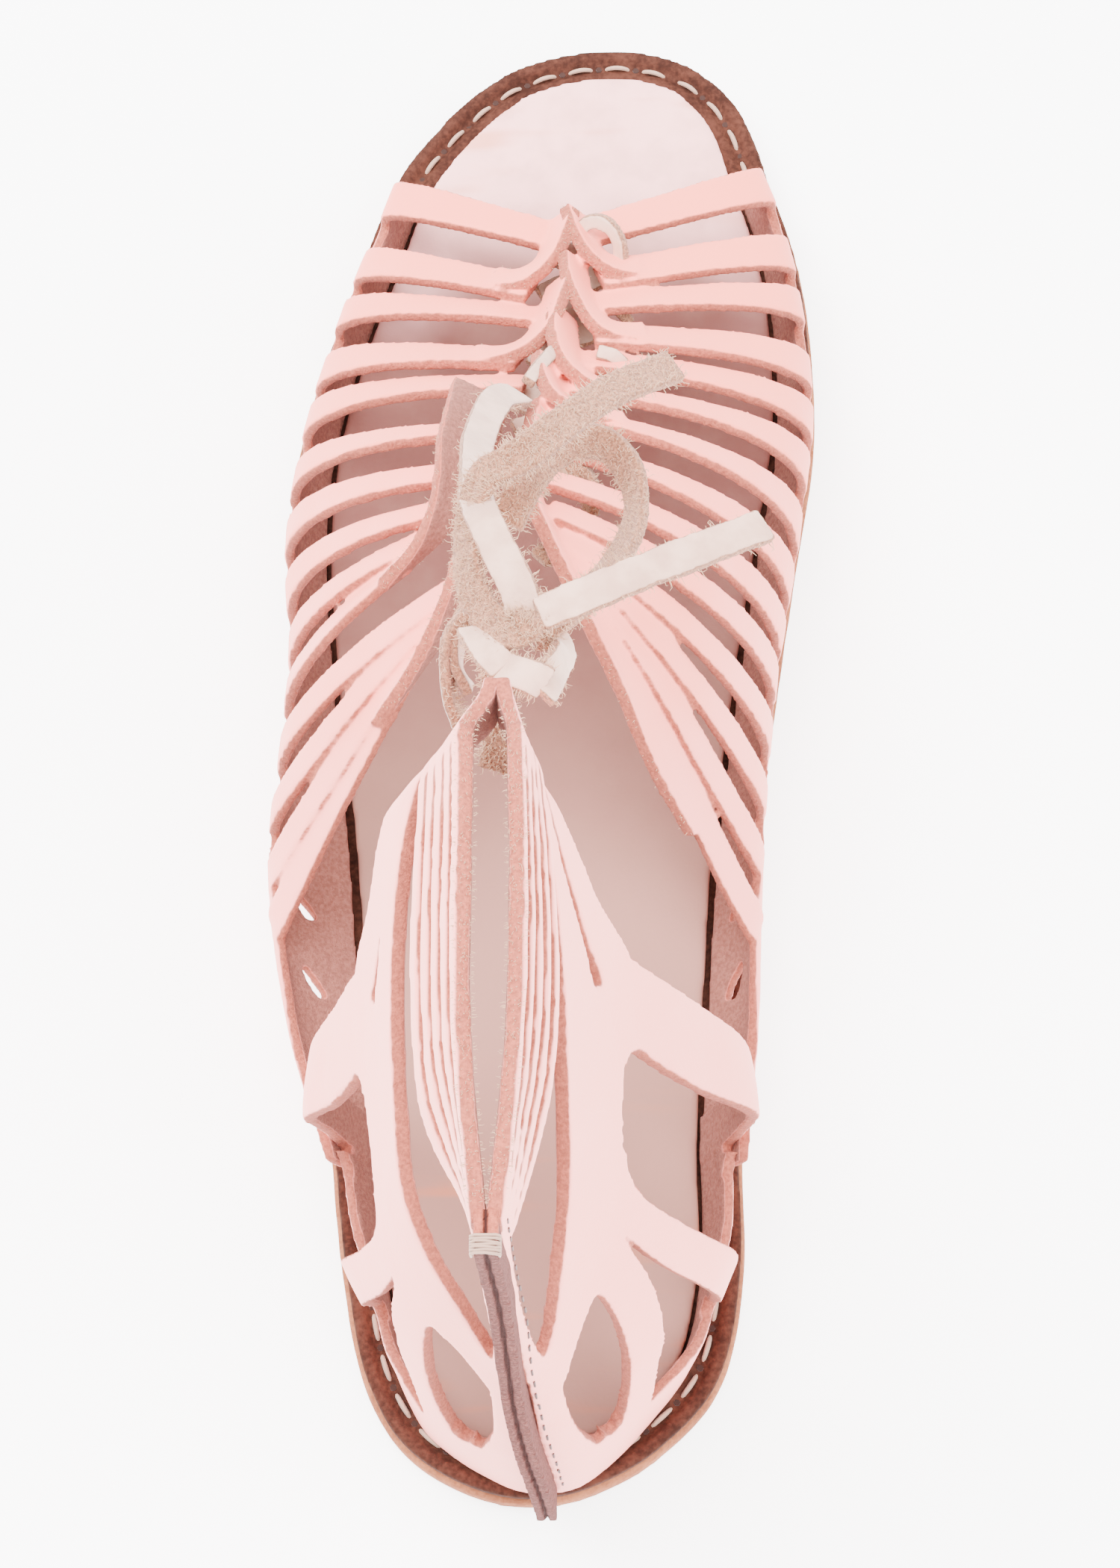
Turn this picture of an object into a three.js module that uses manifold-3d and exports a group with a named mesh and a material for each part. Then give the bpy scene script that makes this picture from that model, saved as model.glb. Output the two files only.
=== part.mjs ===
// Roman caliga sandal, left foot: stitched leather sole with an upper of cut straps laced over the foot.
// Millimetres, +Z up, toe towards +Y, inner side of the foot towards +X.
// Origin on the floor, below the middle of the outsole.
import * as THREE from 'three';
import { mergeVertices } from 'three/addons/utils/BufferGeometryUtils.js';
import Module from 'manifold-3d';

const wasm = await Module();
wasm.setup();

// Driving dimensions
const soleLength = 280;
const ballWidth = 98.8;
const outsoleThickness = 5;
const midsoleThickness = 2.7;
const midsoleStep = 0.8;
const insoleThickness = 2.5;
const insoleMargin = 8.2;
const upperLeather = 2;
const fitGap = 0.3;
const toeSpring = 3;
const instepHeight = 62;
const collarHeight = 135;
const sideBulge = 6;
const bandHeight = 10;
const strapWidth = 7.2;
const collarOpening = 5.5;
const shaftBulge = 9;
const finDepth = 4.5;
const loopHeight = 5;
const slitWidth = 0.9;
const ridgeLeather = 2.5;
const tuck = 0.2;
const weld = 0.02;
const thongWidth = 5.6;
const thongThickness = 1.8;

// Levels worked out from them
const midsoleBase = outsoleThickness + fitGap;
const seatLevel = midsoleBase + midsoleThickness + fitGap;
const halfBall = ballWidth / 2;
const upperInset = insoleMargin - fitGap - upperLeather;

// Outline of the outsole: shares of the length from the heel, and of half the ball width
const outlineRows = [
  { along: 0.000, left: -0.083, right: -0.083 },
  { along: 0.006, left: -0.270, right: 0.115 },
  { along: 0.030, left: -0.505, right: 0.365 },
  { along: 0.070, left: -0.650, right: 0.572 },
  { along: 0.140, left: -0.738, right: 0.665 },
  { along: 0.220, left: -0.790, right: 0.668 },
  { along: 0.320, left: -0.835, right: 0.700 },
  { along: 0.420, left: -0.885, right: 0.745 },
  { along: 0.520, left: -0.955, right: 0.825 },
  { along: 0.620, left: -0.998, right: 0.915 },
  { along: 0.690, left: -0.975, right: 0.983 },
  { along: 0.760, left: -0.890, right: 0.993 },
  { along: 0.830, left: -0.762, right: 0.955 },
  { along: 0.900, left: -0.620, right: 0.845 },
  { along: 0.950, left: -0.410, right: 0.745 },
  { along: 0.982, left: -0.190, right: 0.585 },
  { along: 1.000, left: 0.237, right: 0.237 },
];

// Vamp sections. Sides: how far the wall stands outside the sole edge, as shares of sideBulge.
// Crest: place of the lacing line, as a share of half the ball width, and its share of instepHeight.
const vampRows = [
  { along: 0.20, left: 0.10, right: 0.10, crestAcross: -0.16, crest: 0.42 },
  { along: 0.28, left: 0.90, right: 0.25, crestAcross: -0.16, crest: 0.46 },
  { along: 0.36, left: 1.25, right: 0.18, crestAcross: -0.15, crest: 0.52 },
  { along: 0.41, left: 1.10, right: 0.12, crestAcross: -0.14, crest: 0.70 },
  { along: 0.46, left: 0.60, right: 0.03, crestAcross: -0.12, crest: 0.90 },
  { along: 0.52, left: 0.05, right: -0.08, crestAcross: -0.09, crest: 1.00 },
  { along: 0.60, left: -0.08, right: -0.02, crestAcross: -0.06, crest: 0.95 },
  { along: 0.70, left: -0.45, right: -0.20, crestAcross: 0.00, crest: 0.69 },
  { along: 0.80, left: -0.55, right: -0.50, crestAcross: 0.05, crest: 0.525 },
  { along: 0.90, left: -0.70, right: -0.75, crestAcross: 0.07, crest: 0.43 },
];

// Shaft levels, heights as shares of collarHeight. Wrap: 0 stands on the sole outline, 1 on the collar.
// Bulge: share of shaftBulge.
const shaftRows = [
  { height: 0.06, left: 0.00, right: 0.00, back: 0.00, bulge: 0.00 },
  { height: 0.15, left: 0.00, right: 0.00, back: 0.04, bulge: 0.60 },
  { height: 0.26, left: 0.00, right: 0.06, back: 0.15, bulge: 1.00 },
  { height: 0.37, left: 0.03, right: 0.22, back: 0.31, bulge: 0.50 },
  { height: 0.53, left: 0.18, right: 0.55, back: 0.57, bulge: 0.08 },
  { height: 0.73, left: 0.45, right: 0.84, back: 0.83, bulge: 0.00 },
  { height: 0.84, left: 0.68, right: 0.91, back: 0.92, bulge: 0.00 },
  { height: 0.93, left: 0.85, right: 0.96, back: 0.97, bulge: 0.00 },
  { height: 1.02, left: 1.00, right: 1.00, back: 1.00, bulge: 0.00 },
];

// Collar line in shares of half the ball width (across) and of the sole length (along)
const collarFront = { across: -0.166, along: 0.357 };
const collarBack = { across: -0.184, along: 0.068 };
const seamFoot = { across: -0.030, along: 0.004 };

// Straps. Root and end: shares of the length; reach: share of the way from the sole to the lacing line;
// root width and end width: shares of strapWidth; lean: degrees that the heel edge stands up at the end.
const strapRows = [
  { side: -1, root: 0.857, end: 0.809, reach: 0.99, rootWidth: 1.15, endWidth: 1.00, lean: 8 },
  { side: -1, root: 0.808, end: 0.766, reach: 0.93, rootWidth: 1.05, endWidth: 1.00, lean: 14 },
  { side: -1, root: 0.771, end: 0.741, reach: 0.97, rootWidth: 1.00, endWidth: 0.80, lean: 16 },
  { side: -1, root: 0.728, end: 0.704, reach: 0.93, rootWidth: 1.00, endWidth: 1.10, lean: 20 },
  { side: -1, root: 0.692, end: 0.680, reach: 0.95, rootWidth: 1.00, endWidth: 0.85, lean: 12 },
  { side: -1, root: 0.648, end: 0.634, reach: 0.90, rootWidth: 1.00, endWidth: 0.80, lean: 14 },
  { side: -1, root: 0.606, end: 0.597, reach: 0.89, rootWidth: 1.00, endWidth: 0.80, lean: 16 },
  { side: -1, root: 0.566, end: 0.572, reach: 0.84, rootWidth: 0.95, endWidth: 0.65, lean: 18 },
  { side: -1, root: 0.529, end: 0.553, reach: 0.79, rootWidth: 0.90, endWidth: 0.60, lean: 20 },
  { side: -1, root: 0.497, end: 0.540, reach: 0.74, rootWidth: 0.85, endWidth: 0.60, lean: 26 },
  { side: -1, root: 0.459, end: 0.520, reach: 0.87, rootWidth: 0.90, endWidth: 0.60, lean: 12 },
  { side: -1, root: 0.419, end: 0.510, reach: 0.85, rootWidth: 0.85, endWidth: 0.50, lean: 16 },
  { side: -1, root: 0.379, end: 0.497, reach: 0.82, rootWidth: 0.80, endWidth: 0.50, lean: 20 },
  { side: -1, root: 0.345, end: 0.484, reach: 0.79, rootWidth: 0.80, endWidth: 0.55, lean: 26 },
  { side: 1, root: 0.868, end: 0.812, reach: 0.99, rootWidth: 1.15, endWidth: 1.00, lean: 8 },
  { side: 1, root: 0.817, end: 0.777, reach: 0.93, rootWidth: 1.05, endWidth: 1.05, lean: 10 },
  { side: 1, root: 0.778, end: 0.752, reach: 0.97, rootWidth: 1.00, endWidth: 0.80, lean: 12 },
  { side: 1, root: 0.729, end: 0.725, reach: 0.93, rootWidth: 1.00, endWidth: 1.05, lean: 16 },
  { side: 1, root: 0.692, end: 0.703, reach: 0.97, rootWidth: 1.00, endWidth: 0.85, lean: 12 },
  { side: 1, root: 0.656, end: 0.676, reach: 0.98, rootWidth: 1.00, endWidth: 0.80, lean: 14 },
  { side: 1, root: 0.614, end: 0.650, reach: 0.985, rootWidth: 1.00, endWidth: 0.80, lean: 16 },
  { side: 1, root: 0.575, end: 0.620, reach: 0.99, rootWidth: 0.95, endWidth: 0.75, lean: 18 },
  { side: 1, root: 0.540, end: 0.592, reach: 0.985, rootWidth: 0.95, endWidth: 0.70, lean: 18 },
  { side: 1, root: 0.508, end: 0.568, reach: 0.97, rootWidth: 0.90, endWidth: 0.65, lean: 18 },
  { side: 1, root: 0.470, end: 0.550, reach: 0.945, rootWidth: 0.90, endWidth: 0.60, lean: 16 },
  { side: 1, root: 0.430, end: 0.538, reach: 0.915, rootWidth: 0.85, endWidth: 0.55, lean: 18 },
  { side: 1, root: 0.388, end: 0.525, reach: 0.885, rootWidth: 0.80, endWidth: 0.55, lean: 22 },
  { side: 1, root: 0.343, end: 0.512, reach: 0.86, rootWidth: 0.80, endWidth: 0.60, lean: 26 },
];

// Standing strips that join strap ends: paths in shares of the length and of the reach to the lacing line,
// width as a share of loopHeight, lean in degrees from the foot's surface.
const stripRows = {
  loop_1_left: { side: -1, path: [
    { along: 0.826, reach: 0.958, lean: 50, width: 1.15 },
    { along: 0.806, reach: 0.944, lean: 52, width: 1.25 },
    { along: 0.789, reach: 0.926, lean: 46, width: 1.2 },
    { along: 0.781, reach: 0.885, lean: 24, width: 1.15 },
    { along: 0.783, reach: 0.840, lean: 8, width: 0.9 },
  ] },
  loop_1_right: { side: 1, path: [
    { along: 0.827, reach: 0.958, lean: 50, width: 1.2 },
    { along: 0.810, reach: 0.942, lean: 52, width: 1.3 },
    { along: 0.797, reach: 0.918, lean: 44, width: 1.25 },
    { along: 0.792, reach: 0.885, lean: 24, width: 1.15 },
    { along: 0.793, reach: 0.840, lean: 8, width: 0.9 },
  ] },
  loop_2_right: { side: 1, path: [
    { along: 0.786, reach: 0.958, lean: 50, width: 1.15 },
    { along: 0.764, reach: 0.945, lean: 52, width: 1.3 },
    { along: 0.744, reach: 0.918, lean: 46, width: 1.25 },
    { along: 0.735, reach: 0.885, lean: 24, width: 1.15 },
    { along: 0.735, reach: 0.830, lean: 8, width: 0.9 },
  ] },
  loop_2_left: { side: -1, path: [
    { along: 0.768, reach: 0.966, lean: 50, width: 1.15 },
    { along: 0.742, reach: 0.952, lean: 52, width: 1.3 },
    { along: 0.722, reach: 0.932, lean: 42, width: 1.25 },
    { along: 0.7135, reach: 0.890, lean: 26, width: 1.15 },
    { along: 0.715, reach: 0.830, lean: 8, width: 0.95 },
  ] },
  loop_3_right: { side: 1, path: [
    { along: 0.738, reach: 0.968, lean: 50, width: 1.1 },
    { along: 0.713, reach: 0.958, lean: 50, width: 1.35 },
    { along: 0.692, reach: 0.935, lean: 42, width: 1.3 },
    { along: 0.682, reach: 0.895, lean: 24, width: 1.15 },
    { along: 0.681, reach: 0.840, lean: 8, width: 0.9 },
  ] },
  loop_4_right: { side: 1, path: [
    { along: 0.694, reach: 0.988, lean: 50, width: 1.1 },
    { along: 0.67, reach: 0.970, lean: 52, width: 1.3 },
    { along: 0.656, reach: 0.945, lean: 42, width: 1.25 },
    { along: 0.653, reach: 0.905, lean: 24, width: 1.1 },
    { along: 0.65, reach: 0.850, lean: 8, width: 0.9 },
  ] },
  loop_5_right: { side: 1, path: [
    { along: 0.650, reach: 0.990, lean: 58, width: 0.65 },
    { along: 0.602, reach: 0.990, lean: 70, width: 1.0 },
    { along: 0.566, reach: 0.975, lean: 70, width: 1.1 },
    { along: 0.53, reach: 0.915, lean: 60, width: 0.9 },
    { along: 0.5, reach: 0.855, lean: 55, width: 0.8 },
    { along: 0.465, reach: 0.775, lean: 52, width: 0.7 },
    { along: 0.43, reach: 0.690, lean: 45, width: 0.6 },
    { along: 0.395, reach: 0.580, lean: 30, width: 0.4 },
  ] },
  strip_3_left: { side: -1, path: [
    { along: 0.652, reach: 0.910, lean: 150, width: 1.9 },
    { along: 0.62, reach: 0.905, lean: 145, width: 1.9 },
    { along: 0.59, reach: 0.885, lean: 135, width: 1.8 },
    { along: 0.562, reach: 0.830, lean: 110, width: 1.1 },
    { along: 0.545, reach: 0.760, lean: 75, width: 0.6 },
    { along: 0.532, reach: 0.680, lean: 50, width: 0.4 },
  ] },
  strip_4_left: { side: -1, path: [
    { along: 0.53, reach: 0.880, lean: 115, width: 0.9 },
    { along: 0.505, reach: 0.850, lean: 105, width: 0.9 },
    { along: 0.478, reach: 0.780, lean: 80, width: 0.7 },
    { along: 0.45, reach: 0.680, lean: 55, width: 0.4 },
  ] },
};

// Pieces of the shaft: rows run along the piece; low and high edges in shares of the wrap round
// the heel (0 lacing, 1 back seam) and of collarHeight.
const shaftPieces = {
  panel: { across: 3, steps: 12, rows: [
    { wrap: 0.02, low: 0.800, wrapHigh: 0.02, high: 0.900 },
    { wrap: 0.10, low: 0.680, wrapHigh: 0.12, high: 0.800 },
    { wrap: 0.18, low: 0.590, wrapHigh: 0.24, high: 0.745 },
    { wrap: 0.25, low: 0.500, wrapHigh: 0.34, high: 0.720 },
    { wrap: 0.38, low: 0.510, wrapHigh: 0.44, high: 0.705 },
    { wrap: 0.50, low: 0.525, wrapHigh: 0.55, high: 0.692 },
    { wrap: 0.62, low: 0.505, wrapHigh: 0.66, high: 0.665 },
    { wrap: 0.71, low: 0.475, wrapHigh: 0.76, high: 0.625 },
    { wrap: 0.80, low: 0.473, wrapHigh: 0.85, high: 0.575 },
    { wrap: 0.88, low: 0.445, wrapHigh: 0.93, high: 0.510 },
    { wrap: 0.95, low: 0.385, wrapHigh: 1.00, high: 0.480 },
  ] },
  backStrip: { across: 2, steps: 7, rows: [
    { wrap: 0.930, low: 0.46, wrapHigh: 0.995, high: 0.475 },
    { wrap: 0.930, low: 0.30, wrapHigh: 0.995, high: 0.30 },
    { wrap: 0.905, low: 0.20, wrapHigh: 0.990, high: 0.20 },
    { wrap: 0.880, low: 0.13, wrapHigh: 0.985, high: 0.13 },
  ] },
  frontStrap: { across: 2, steps: 8, rows: [
    { wrap: 0.245, low: 0.54, wrapHigh: 0.395, high: 0.54 },
    { wrap: 0.250, low: 0.40, wrapHigh: 0.395, high: 0.40 },
    { wrap: 0.262, low: 0.28, wrapHigh: 0.380, high: 0.28 },
    { wrap: 0.290, low: 0.18, wrapHigh: 0.370, high: 0.18 },
    { wrap: 0.320, low: 0.065, wrapHigh: 0.390, high: 0.065 },
  ] },
  middleStrap: { across: 2, steps: 7, rows: [
    { wrap: 0.610, low: 0.53, wrapHigh: 0.695, high: 0.52 },
    { wrap: 0.615, low: 0.46, wrapHigh: 0.685, high: 0.43 },
    { wrap: 0.595, low: 0.34, wrapHigh: 0.660, high: 0.32 },
    { wrap: 0.575, low: 0.22, wrapHigh: 0.635, high: 0.20 },
    { wrap: 0.560, low: 0.09, wrapHigh: 0.610, high: 0.09 },
  ] },
  curvedStrap: { across: 2, steps: 8, rows: [
    { wrap: 0.695, low: 0.50, wrapHigh: 0.790, high: 0.50 },
    { wrap: 0.705, low: 0.40, wrapHigh: 0.790, high: 0.41 },
    { wrap: 0.735, low: 0.31, wrapHigh: 0.803, high: 0.33 },
    { wrap: 0.772, low: 0.24, wrapHigh: 0.828, high: 0.26 },
    { wrap: 0.805, low: 0.14, wrapHigh: 0.870, high: 0.17 },
  ] },
  frontTab: { across: 2, steps: 3, rows: [
    { wrap: 0.00, low: 0.830, wrapHigh: 0.00, high: 0.930 },
    { wrap: 0.05, low: 0.825, wrapHigh: 0.05, high: 0.940 },
    { wrap: 0.10, low: 0.825, wrapHigh: 0.10, high: 0.955 },
  ] },
  backTab: { across: 2, steps: 3, rows: [
    { wrap: 0.93, low: 0.855, wrapHigh: 0.93, high: 1.000 },
    { wrap: 0.96, low: 0.865, wrapHigh: 0.96, high: 0.998 },
    { wrap: 1.00, low: 0.875, wrapHigh: 1.00, high: 0.996 },
  ] },
  seamFlange: { across: 1, steps: 4, rows: [
    { wrap: 0.955, low: 0.90, wrapHigh: 1.00, high: 0.90 },
    { wrap: 0.965, low: 0.75, wrapHigh: 1.00, high: 0.75 },
    { wrap: 0.965, low: 0.60, wrapHigh: 1.00, high: 0.60 },
    { wrap: 0.945, low: 0.465, wrapHigh: 0.998, high: 0.465 },
  ] },
};
const coverPieces = ['panel', 'frontTab', 'backTab'];

// Slit at the front of each panel, and the slots in the low wall at the waist
const slitRows = [
  { side: 1, from: 0.08, fromHeight: 0.775, to: 0.34, toHeight: 0.585 },
  { side: -1, from: 0.27, fromHeight: 0.665, to: 0.335, toHeight: 0.600 },
];
const slotRows = [
  { from: 0.378, fromReach: 0.115, to: 0.357, toReach: 0.065 },
  { from: 0.333, fromReach: 0.115, to: 0.303, toReach: 0.060 },
];
const slotWidth = 2.6;
const heelBandRows = [
  { wrap: 0.36, height: 0.120 },
  { wrap: 0.50, height: 0.120 },
  { wrap: 0.62, height: 0.105 },
  { wrap: 0.72, height: 0.155 },
  { wrap: 0.80, height: 0.165 },
  { wrap: 0.90, height: 0.200 },
  { wrap: 0.985, height: 0.218 },
];
const collarStrips = 5;
const collarFrontEdge = { low: 0.83, high: 0.935 };
const collarMiddleEdge = { low: 0.815, high: 1.01 };
const collarBackEdge = { low: 0.865, high: 0.997 };

// Lace. Free stretches are routes through points chosen on the tied lace: millimetres, tilt in degrees
// about the way that the thong runs.
const lacePaths = {
  rise: { steps: 14, route: [
    { x: -5.8, y: 42.5, z: 57.2, tilt: 0 },
    { x: -9.2, y: 37.5, z: 65.5, tilt: -15 }, { x: -12.2, y: 22.2, z: 80.0, tilt: -25 },
    { x: -11.4, y: 6.5, z: 95.0, tilt: -15 }, { x: -8.2, y: -6.8, z: 106.0, tilt: 0 },
    { x: -5.4, y: -17.4, z: 112.0, tilt: 0 }, { x: -5.0, y: -25.0, z: 113.6, tilt: 0 }] },
  tail_long: { steps: 14, route: [
    { x: -11.4, y: -25.6, z: 114.6, tilt: -10 }, { x: -14.6, y: -21.5, z: 113.6, tilt: -20 },
    { x: -16.0, y: -14.6, z: 112.6, tilt: -20 },
    { x: -15.0, y: -7.0, z: 112.5, tilt: -10 }, { x: -11.0, y: -0.5, z: 114.0, tilt: 0 },
    { x: -4.2, y: 5.4, z: 114.5, tilt: 0 }, { x: 6.9, y: 15.3, z: 110.5, tilt: 0 },
    { x: 19.4, y: 25.1, z: 104.0, tilt: 0 }] },
  tail_short: { steps: 8, route: [
    { x: 1.8, y: -23.6, z: 116.6, tilt: 0 }, { x: 9.0, y: -19.2, z: 117.2, tilt: 0 },
    { x: 18.0, y: -14.3, z: 115.0, tilt: 0 }, { x: 33.0, y: -5.6, z: 109.0, tilt: 0 }] },
  loop_right: { steps: 14, route: [
    { x: -3.6, y: -0.6, z: 105.0, tilt: 0 }, { x: 0.8, y: 7.6, z: 104.0, tilt: 10 },
    { x: 6.6, y: 12.2, z: 100.0, tilt: 25 },
    { x: 11.4, y: 10.6, z: 95.5, tilt: 45 }, { x: 12.9, y: 5.0, z: 92.5, tilt: 55 },
    { x: 11.6, y: -3.1, z: 95.0, tilt: 45 }, { x: 8.2, y: -11.0, z: 99.0, tilt: 30 },
    { x: 6.0, y: -18.0, z: 104.6, tilt: 10 }, { x: 1.0, y: -28.0, z: 113.4, tilt: 0 }] },
  loop_left: { steps: 10, route: [
    { x: -8.0, y: -34.0, z: 113.2, tilt: -20 }, { x: -15.0, y: -34.4, z: 109.8, tilt: -50 },
    { x: -16.8, y: -37.4, z: 104.5, tilt: -65 }, { x: -14.6, y: -41.8, z: 101.0, tilt: -60 }] },
};
const laceBars = [
  { across: -4.0, along: 0.812 }, { across: 7.0, along: 0.792 }, { across: -4.0, along: 0.768 },
  { across: 7.0, along: 0.744 }, { across: -4.5, along: 0.722 }, { across: 7.0, along: 0.698 },
  { across: -4.5, along: 0.676 }, { across: 4.0, along: 0.655 }, { across: -4.6, along: 0.640 },
];
const knotCentre = { x: -4.8, y: -30.2, z: 115.9 };
const knotSpan = 19;

const clamp = THREE.MathUtils.clamp;
const lerp = THREE.MathUtils.lerp;
const smoothstep = THREE.MathUtils.smoothstep;

// A smooth function through one column of a table
function column(rows, xKey, yKey, xMap = (x) => x) {
  const xs = rows.map((row) => xMap(row[xKey]));
  const ys = rows.map((row) => row[yKey]);
  const curve = new THREE.CubicInterpolant(xs, ys, 1, [0]);
  return (x) => curve.evaluate(clamp(xMap(x), xs[0], xs[xs.length - 1]))[0];
}

// Outline of the sole: round at both ends because it is read by the turn of an ellipse
const turn = (along) => Math.asin(2 * clamp(along, 0, 1) - 1);
const outlineSide = {
  '-1': column(outlineRows, 'along', 'left', turn),
  '1': column(outlineRows, 'along', 'right', turn),
};

function outlinePoint(side, along) {
  return new THREE.Vector2(halfBall * outlineSide[side](along), (along - 0.5) * soleLength);
}

// Closed outline, counter-clockwise, moved inwards by an inset
function outlineLoop(inset, steps = 100) {
  const edge = [];
  for (let i = 0; i <= steps; i++) edge.push(outlinePoint(1, 0.5 - 0.5 * Math.cos(Math.PI * i / steps)));
  for (let i = steps - 1; i > 0; i--) edge.push(outlinePoint(-1, 0.5 - 0.5 * Math.cos(Math.PI * i / steps)));
  return edge.map((point, i) => {
    const before = edge[(i + edge.length - 1) % edge.length];
    const after = edge[(i + 1) % edge.length];
    const way = after.clone().sub(before).normalize();
    return new THREE.Vector2(point.x - way.y * inset, point.y + way.x * inset);
  });
}

// Left and right edge of a closed loop at one distance along the foot
function edgesAt(loop, y) {
  const hits = [];
  loop.forEach((a, i) => {
    const b = loop[(i + 1) % loop.length];
    if ((a.y <= y) !== (b.y <= y)) hits.push(lerp(a.x, b.x, (y - a.y) / (b.y - a.y)));
  });
  return [Math.min(...hits), Math.max(...hits)];
}

// The toe lifts off the floor in front of the ball
const springStart = 0.74;
function lift(y) {
  const share = clamp((y / soleLength + 0.5 - springStart) / (1 - springStart), 0, 1.2);
  return toeSpring * share * share;
}

// Solids

function solid(positions, triangles) {
  const lifted = [];
  for (let i = 0; i < positions.length; i += 3) {
    lifted.push(positions[i], positions[i + 1], positions[i + 2] + lift(positions[i + 1]));
  }
  const shape = new THREE.BufferGeometry();
  shape.setAttribute('position', new THREE.Float32BufferAttribute(lifted, 3));
  shape.setIndex(triangles);
  const merged = mergeVertices(shape, 1e-4);
  return new wasm.Manifold(new wasm.Mesh({
    numProp: 3,
    vertProperties: new Float32Array(merged.attributes.position.array),
    triVerts: new Uint32Array(merged.index.array),
  }));
}

// Closed body from rings of equal length; the rings run counter-clockwise seen against the way they go
function loft(rings) {
  const count = rings[0].length;
  const positions = rings.flat().flatMap((p) => [p.x, p.y, p.z]);
  const triangles = [];
  for (let r = 0; r + 1 < rings.length; r++) {
    for (let k = 0; k < count; k++) {
      const a = r * count + k;
      const b = r * count + (k + 1) % count;
      triangles.push(a, b, b + count, a, b + count, a + count);
    }
  }
  const last = (rings.length - 1) * count;
  for (let k = 1; k + 1 < count; k++) {
    triangles.push(0, k + 1, k);
    triangles.push(last, last + k, last + k + 1);
  }
  return solid(positions, triangles);
}

// Flat layer of the sole between two heights
function soleLayer(inset, low, high, stations = 34) {
  const loop = outlineLoop(inset);
  const ys = loop.map((p) => p.y);
  const from = Math.min(...ys);
  const to = Math.max(...ys);
  const rings = [];
  for (let i = 0; i <= stations; i++) {
    const end = i === 0 || i === stations;
    const y = end ? (i === 0 ? from : to) : lerp(from, to, 0.5 - 0.5 * Math.cos(Math.PI * i / stations));
    const inside = clamp(y, from + 0.02, to - 0.02);
    const [left, right] = edgesAt(loop, inside);
    rings.push([
      new THREE.Vector3(right, y, low), new THREE.Vector3(left, y, low),
      new THREE.Vector3(left, y, high), new THREE.Vector3(right, y, high),
    ]);
  }
  return loft(rings);
}

// Surfaces of the foot that the leather follows. Each returns a point for two shares.

const vampSide = { '-1': column(vampRows, 'along', 'left'), '1': column(vampRows, 'along', 'right') };
const crestAcross = column(vampRows, 'along', 'crestAcross');
const crestShare = column(vampRows, 'along', 'crest');
const flareShare = 0.2;
const waistLevel = seatLevel + bandHeight + 2;

function vampPoint(side, along, reach) {
  const edge = outlinePoint(side, along).x;
  const wide = edge + side * sideBulge * vampSide[side](along);
  const base = edge - side * upperInset;
  const y = (along - 0.5) * soleLength;
  if (reach < flareShare) {
    const share = reach / flareShare;
    const out = Math.sin(share * Math.PI / 2);
    return new THREE.Vector3(lerp(base, wide, out), y, lerp(seatLevel, waistLevel, share));
  }
  const angle = (reach - flareShare) / (1 - flareShare) * Math.PI / 2;
  const top = Math.max(instepHeight * crestShare(along), waistLevel + 0.5);
  const middle = halfBall * crestAcross(along);
  return new THREE.Vector3(
    lerp(middle, wide, Math.cos(angle)), y, lerp(waistLevel, top, Math.sin(angle)));
}

// Top of the side band, as a reach: it rises to a low wall at the waist
const bandShare = 0.85;
const waistShare = 1.55;
function bandTop(along) {
  const raised = smoothstep(-along, -0.42, -0.35) * (1 - smoothstep(-along, -0.32, -0.22));
  return flareShare * lerp(bandShare, waistShare, raised);
}

// Walk round the heel at the foot of the shaft, from the front of the shaft to the back seam
const shaftFront = 0.365;
const seamInset = 0.8;
function heelWalk(side) {
  const steps = 60;
  const from = Math.acos(1 - 2 * shaftFront);
  const walk = [];
  for (let i = 0; i <= steps; i++) {
    const along = 0.5 - 0.5 * Math.cos(from * (1 - i / steps));
    walk.push(outlinePoint(side, along));
  }
  const foot = walk.map((point, i) => {
    const before = walk[Math.max(i - 1, 0)];
    const after = walk[Math.min(i + 1, steps)];
    const way = after.clone().sub(before).normalize();
    const share = smoothstep(i / steps, 0.45, 1);
    const inset = lerp(upperInset, seamInset, share * share);
    return new THREE.Vector2(point.x + side * way.y * inset, point.y - side * way.x * inset);
  });
  const seam = new THREE.Vector2(halfBall * seamFoot.across, (seamFoot.along - 0.5) * soleLength);
  const pull = seam.clone().sub(foot[steps]);
  foot.forEach((point, i) => point.addScaledVector(pull, smoothstep(i / steps, 0.7, 1)));
  const lengths = [0];
  for (let i = 1; i <= steps; i++) lengths.push(lengths[i - 1] + foot[i].distanceTo(foot[i - 1]));
  return (share) => {
    const target = clamp(share, 0, 1) * lengths[steps];
    let i = 1;
    while (i < steps && lengths[i] < target) i++;
    return foot[i - 1].clone().lerp(foot[i], (target - lengths[i - 1]) / (lengths[i] - lengths[i - 1]));
  };
}
const heelBase = { '-1': heelWalk(-1), '1': heelWalk(1) };
const shaftWrap = {
  '-1': column(shaftRows, 'height', 'left'),
  '1': column(shaftRows, 'height', 'right'),
  back: column(shaftRows, 'height', 'back'),
};
const shaftSwell = column(shaftRows, 'height', 'bulge');

function collarPoint(side, wrap) {
  const half = collarOpening / 2 + upperLeather;
  const width = lerp(upperLeather + fitGap, half, Math.sin(Math.PI * wrap));
  return new THREE.Vector2(
    halfBall * lerp(collarFront.across, collarBack.across, wrap) + side * width,
    (lerp(collarFront.along, collarBack.along, wrap) - 0.5) * soleLength);
}

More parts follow.
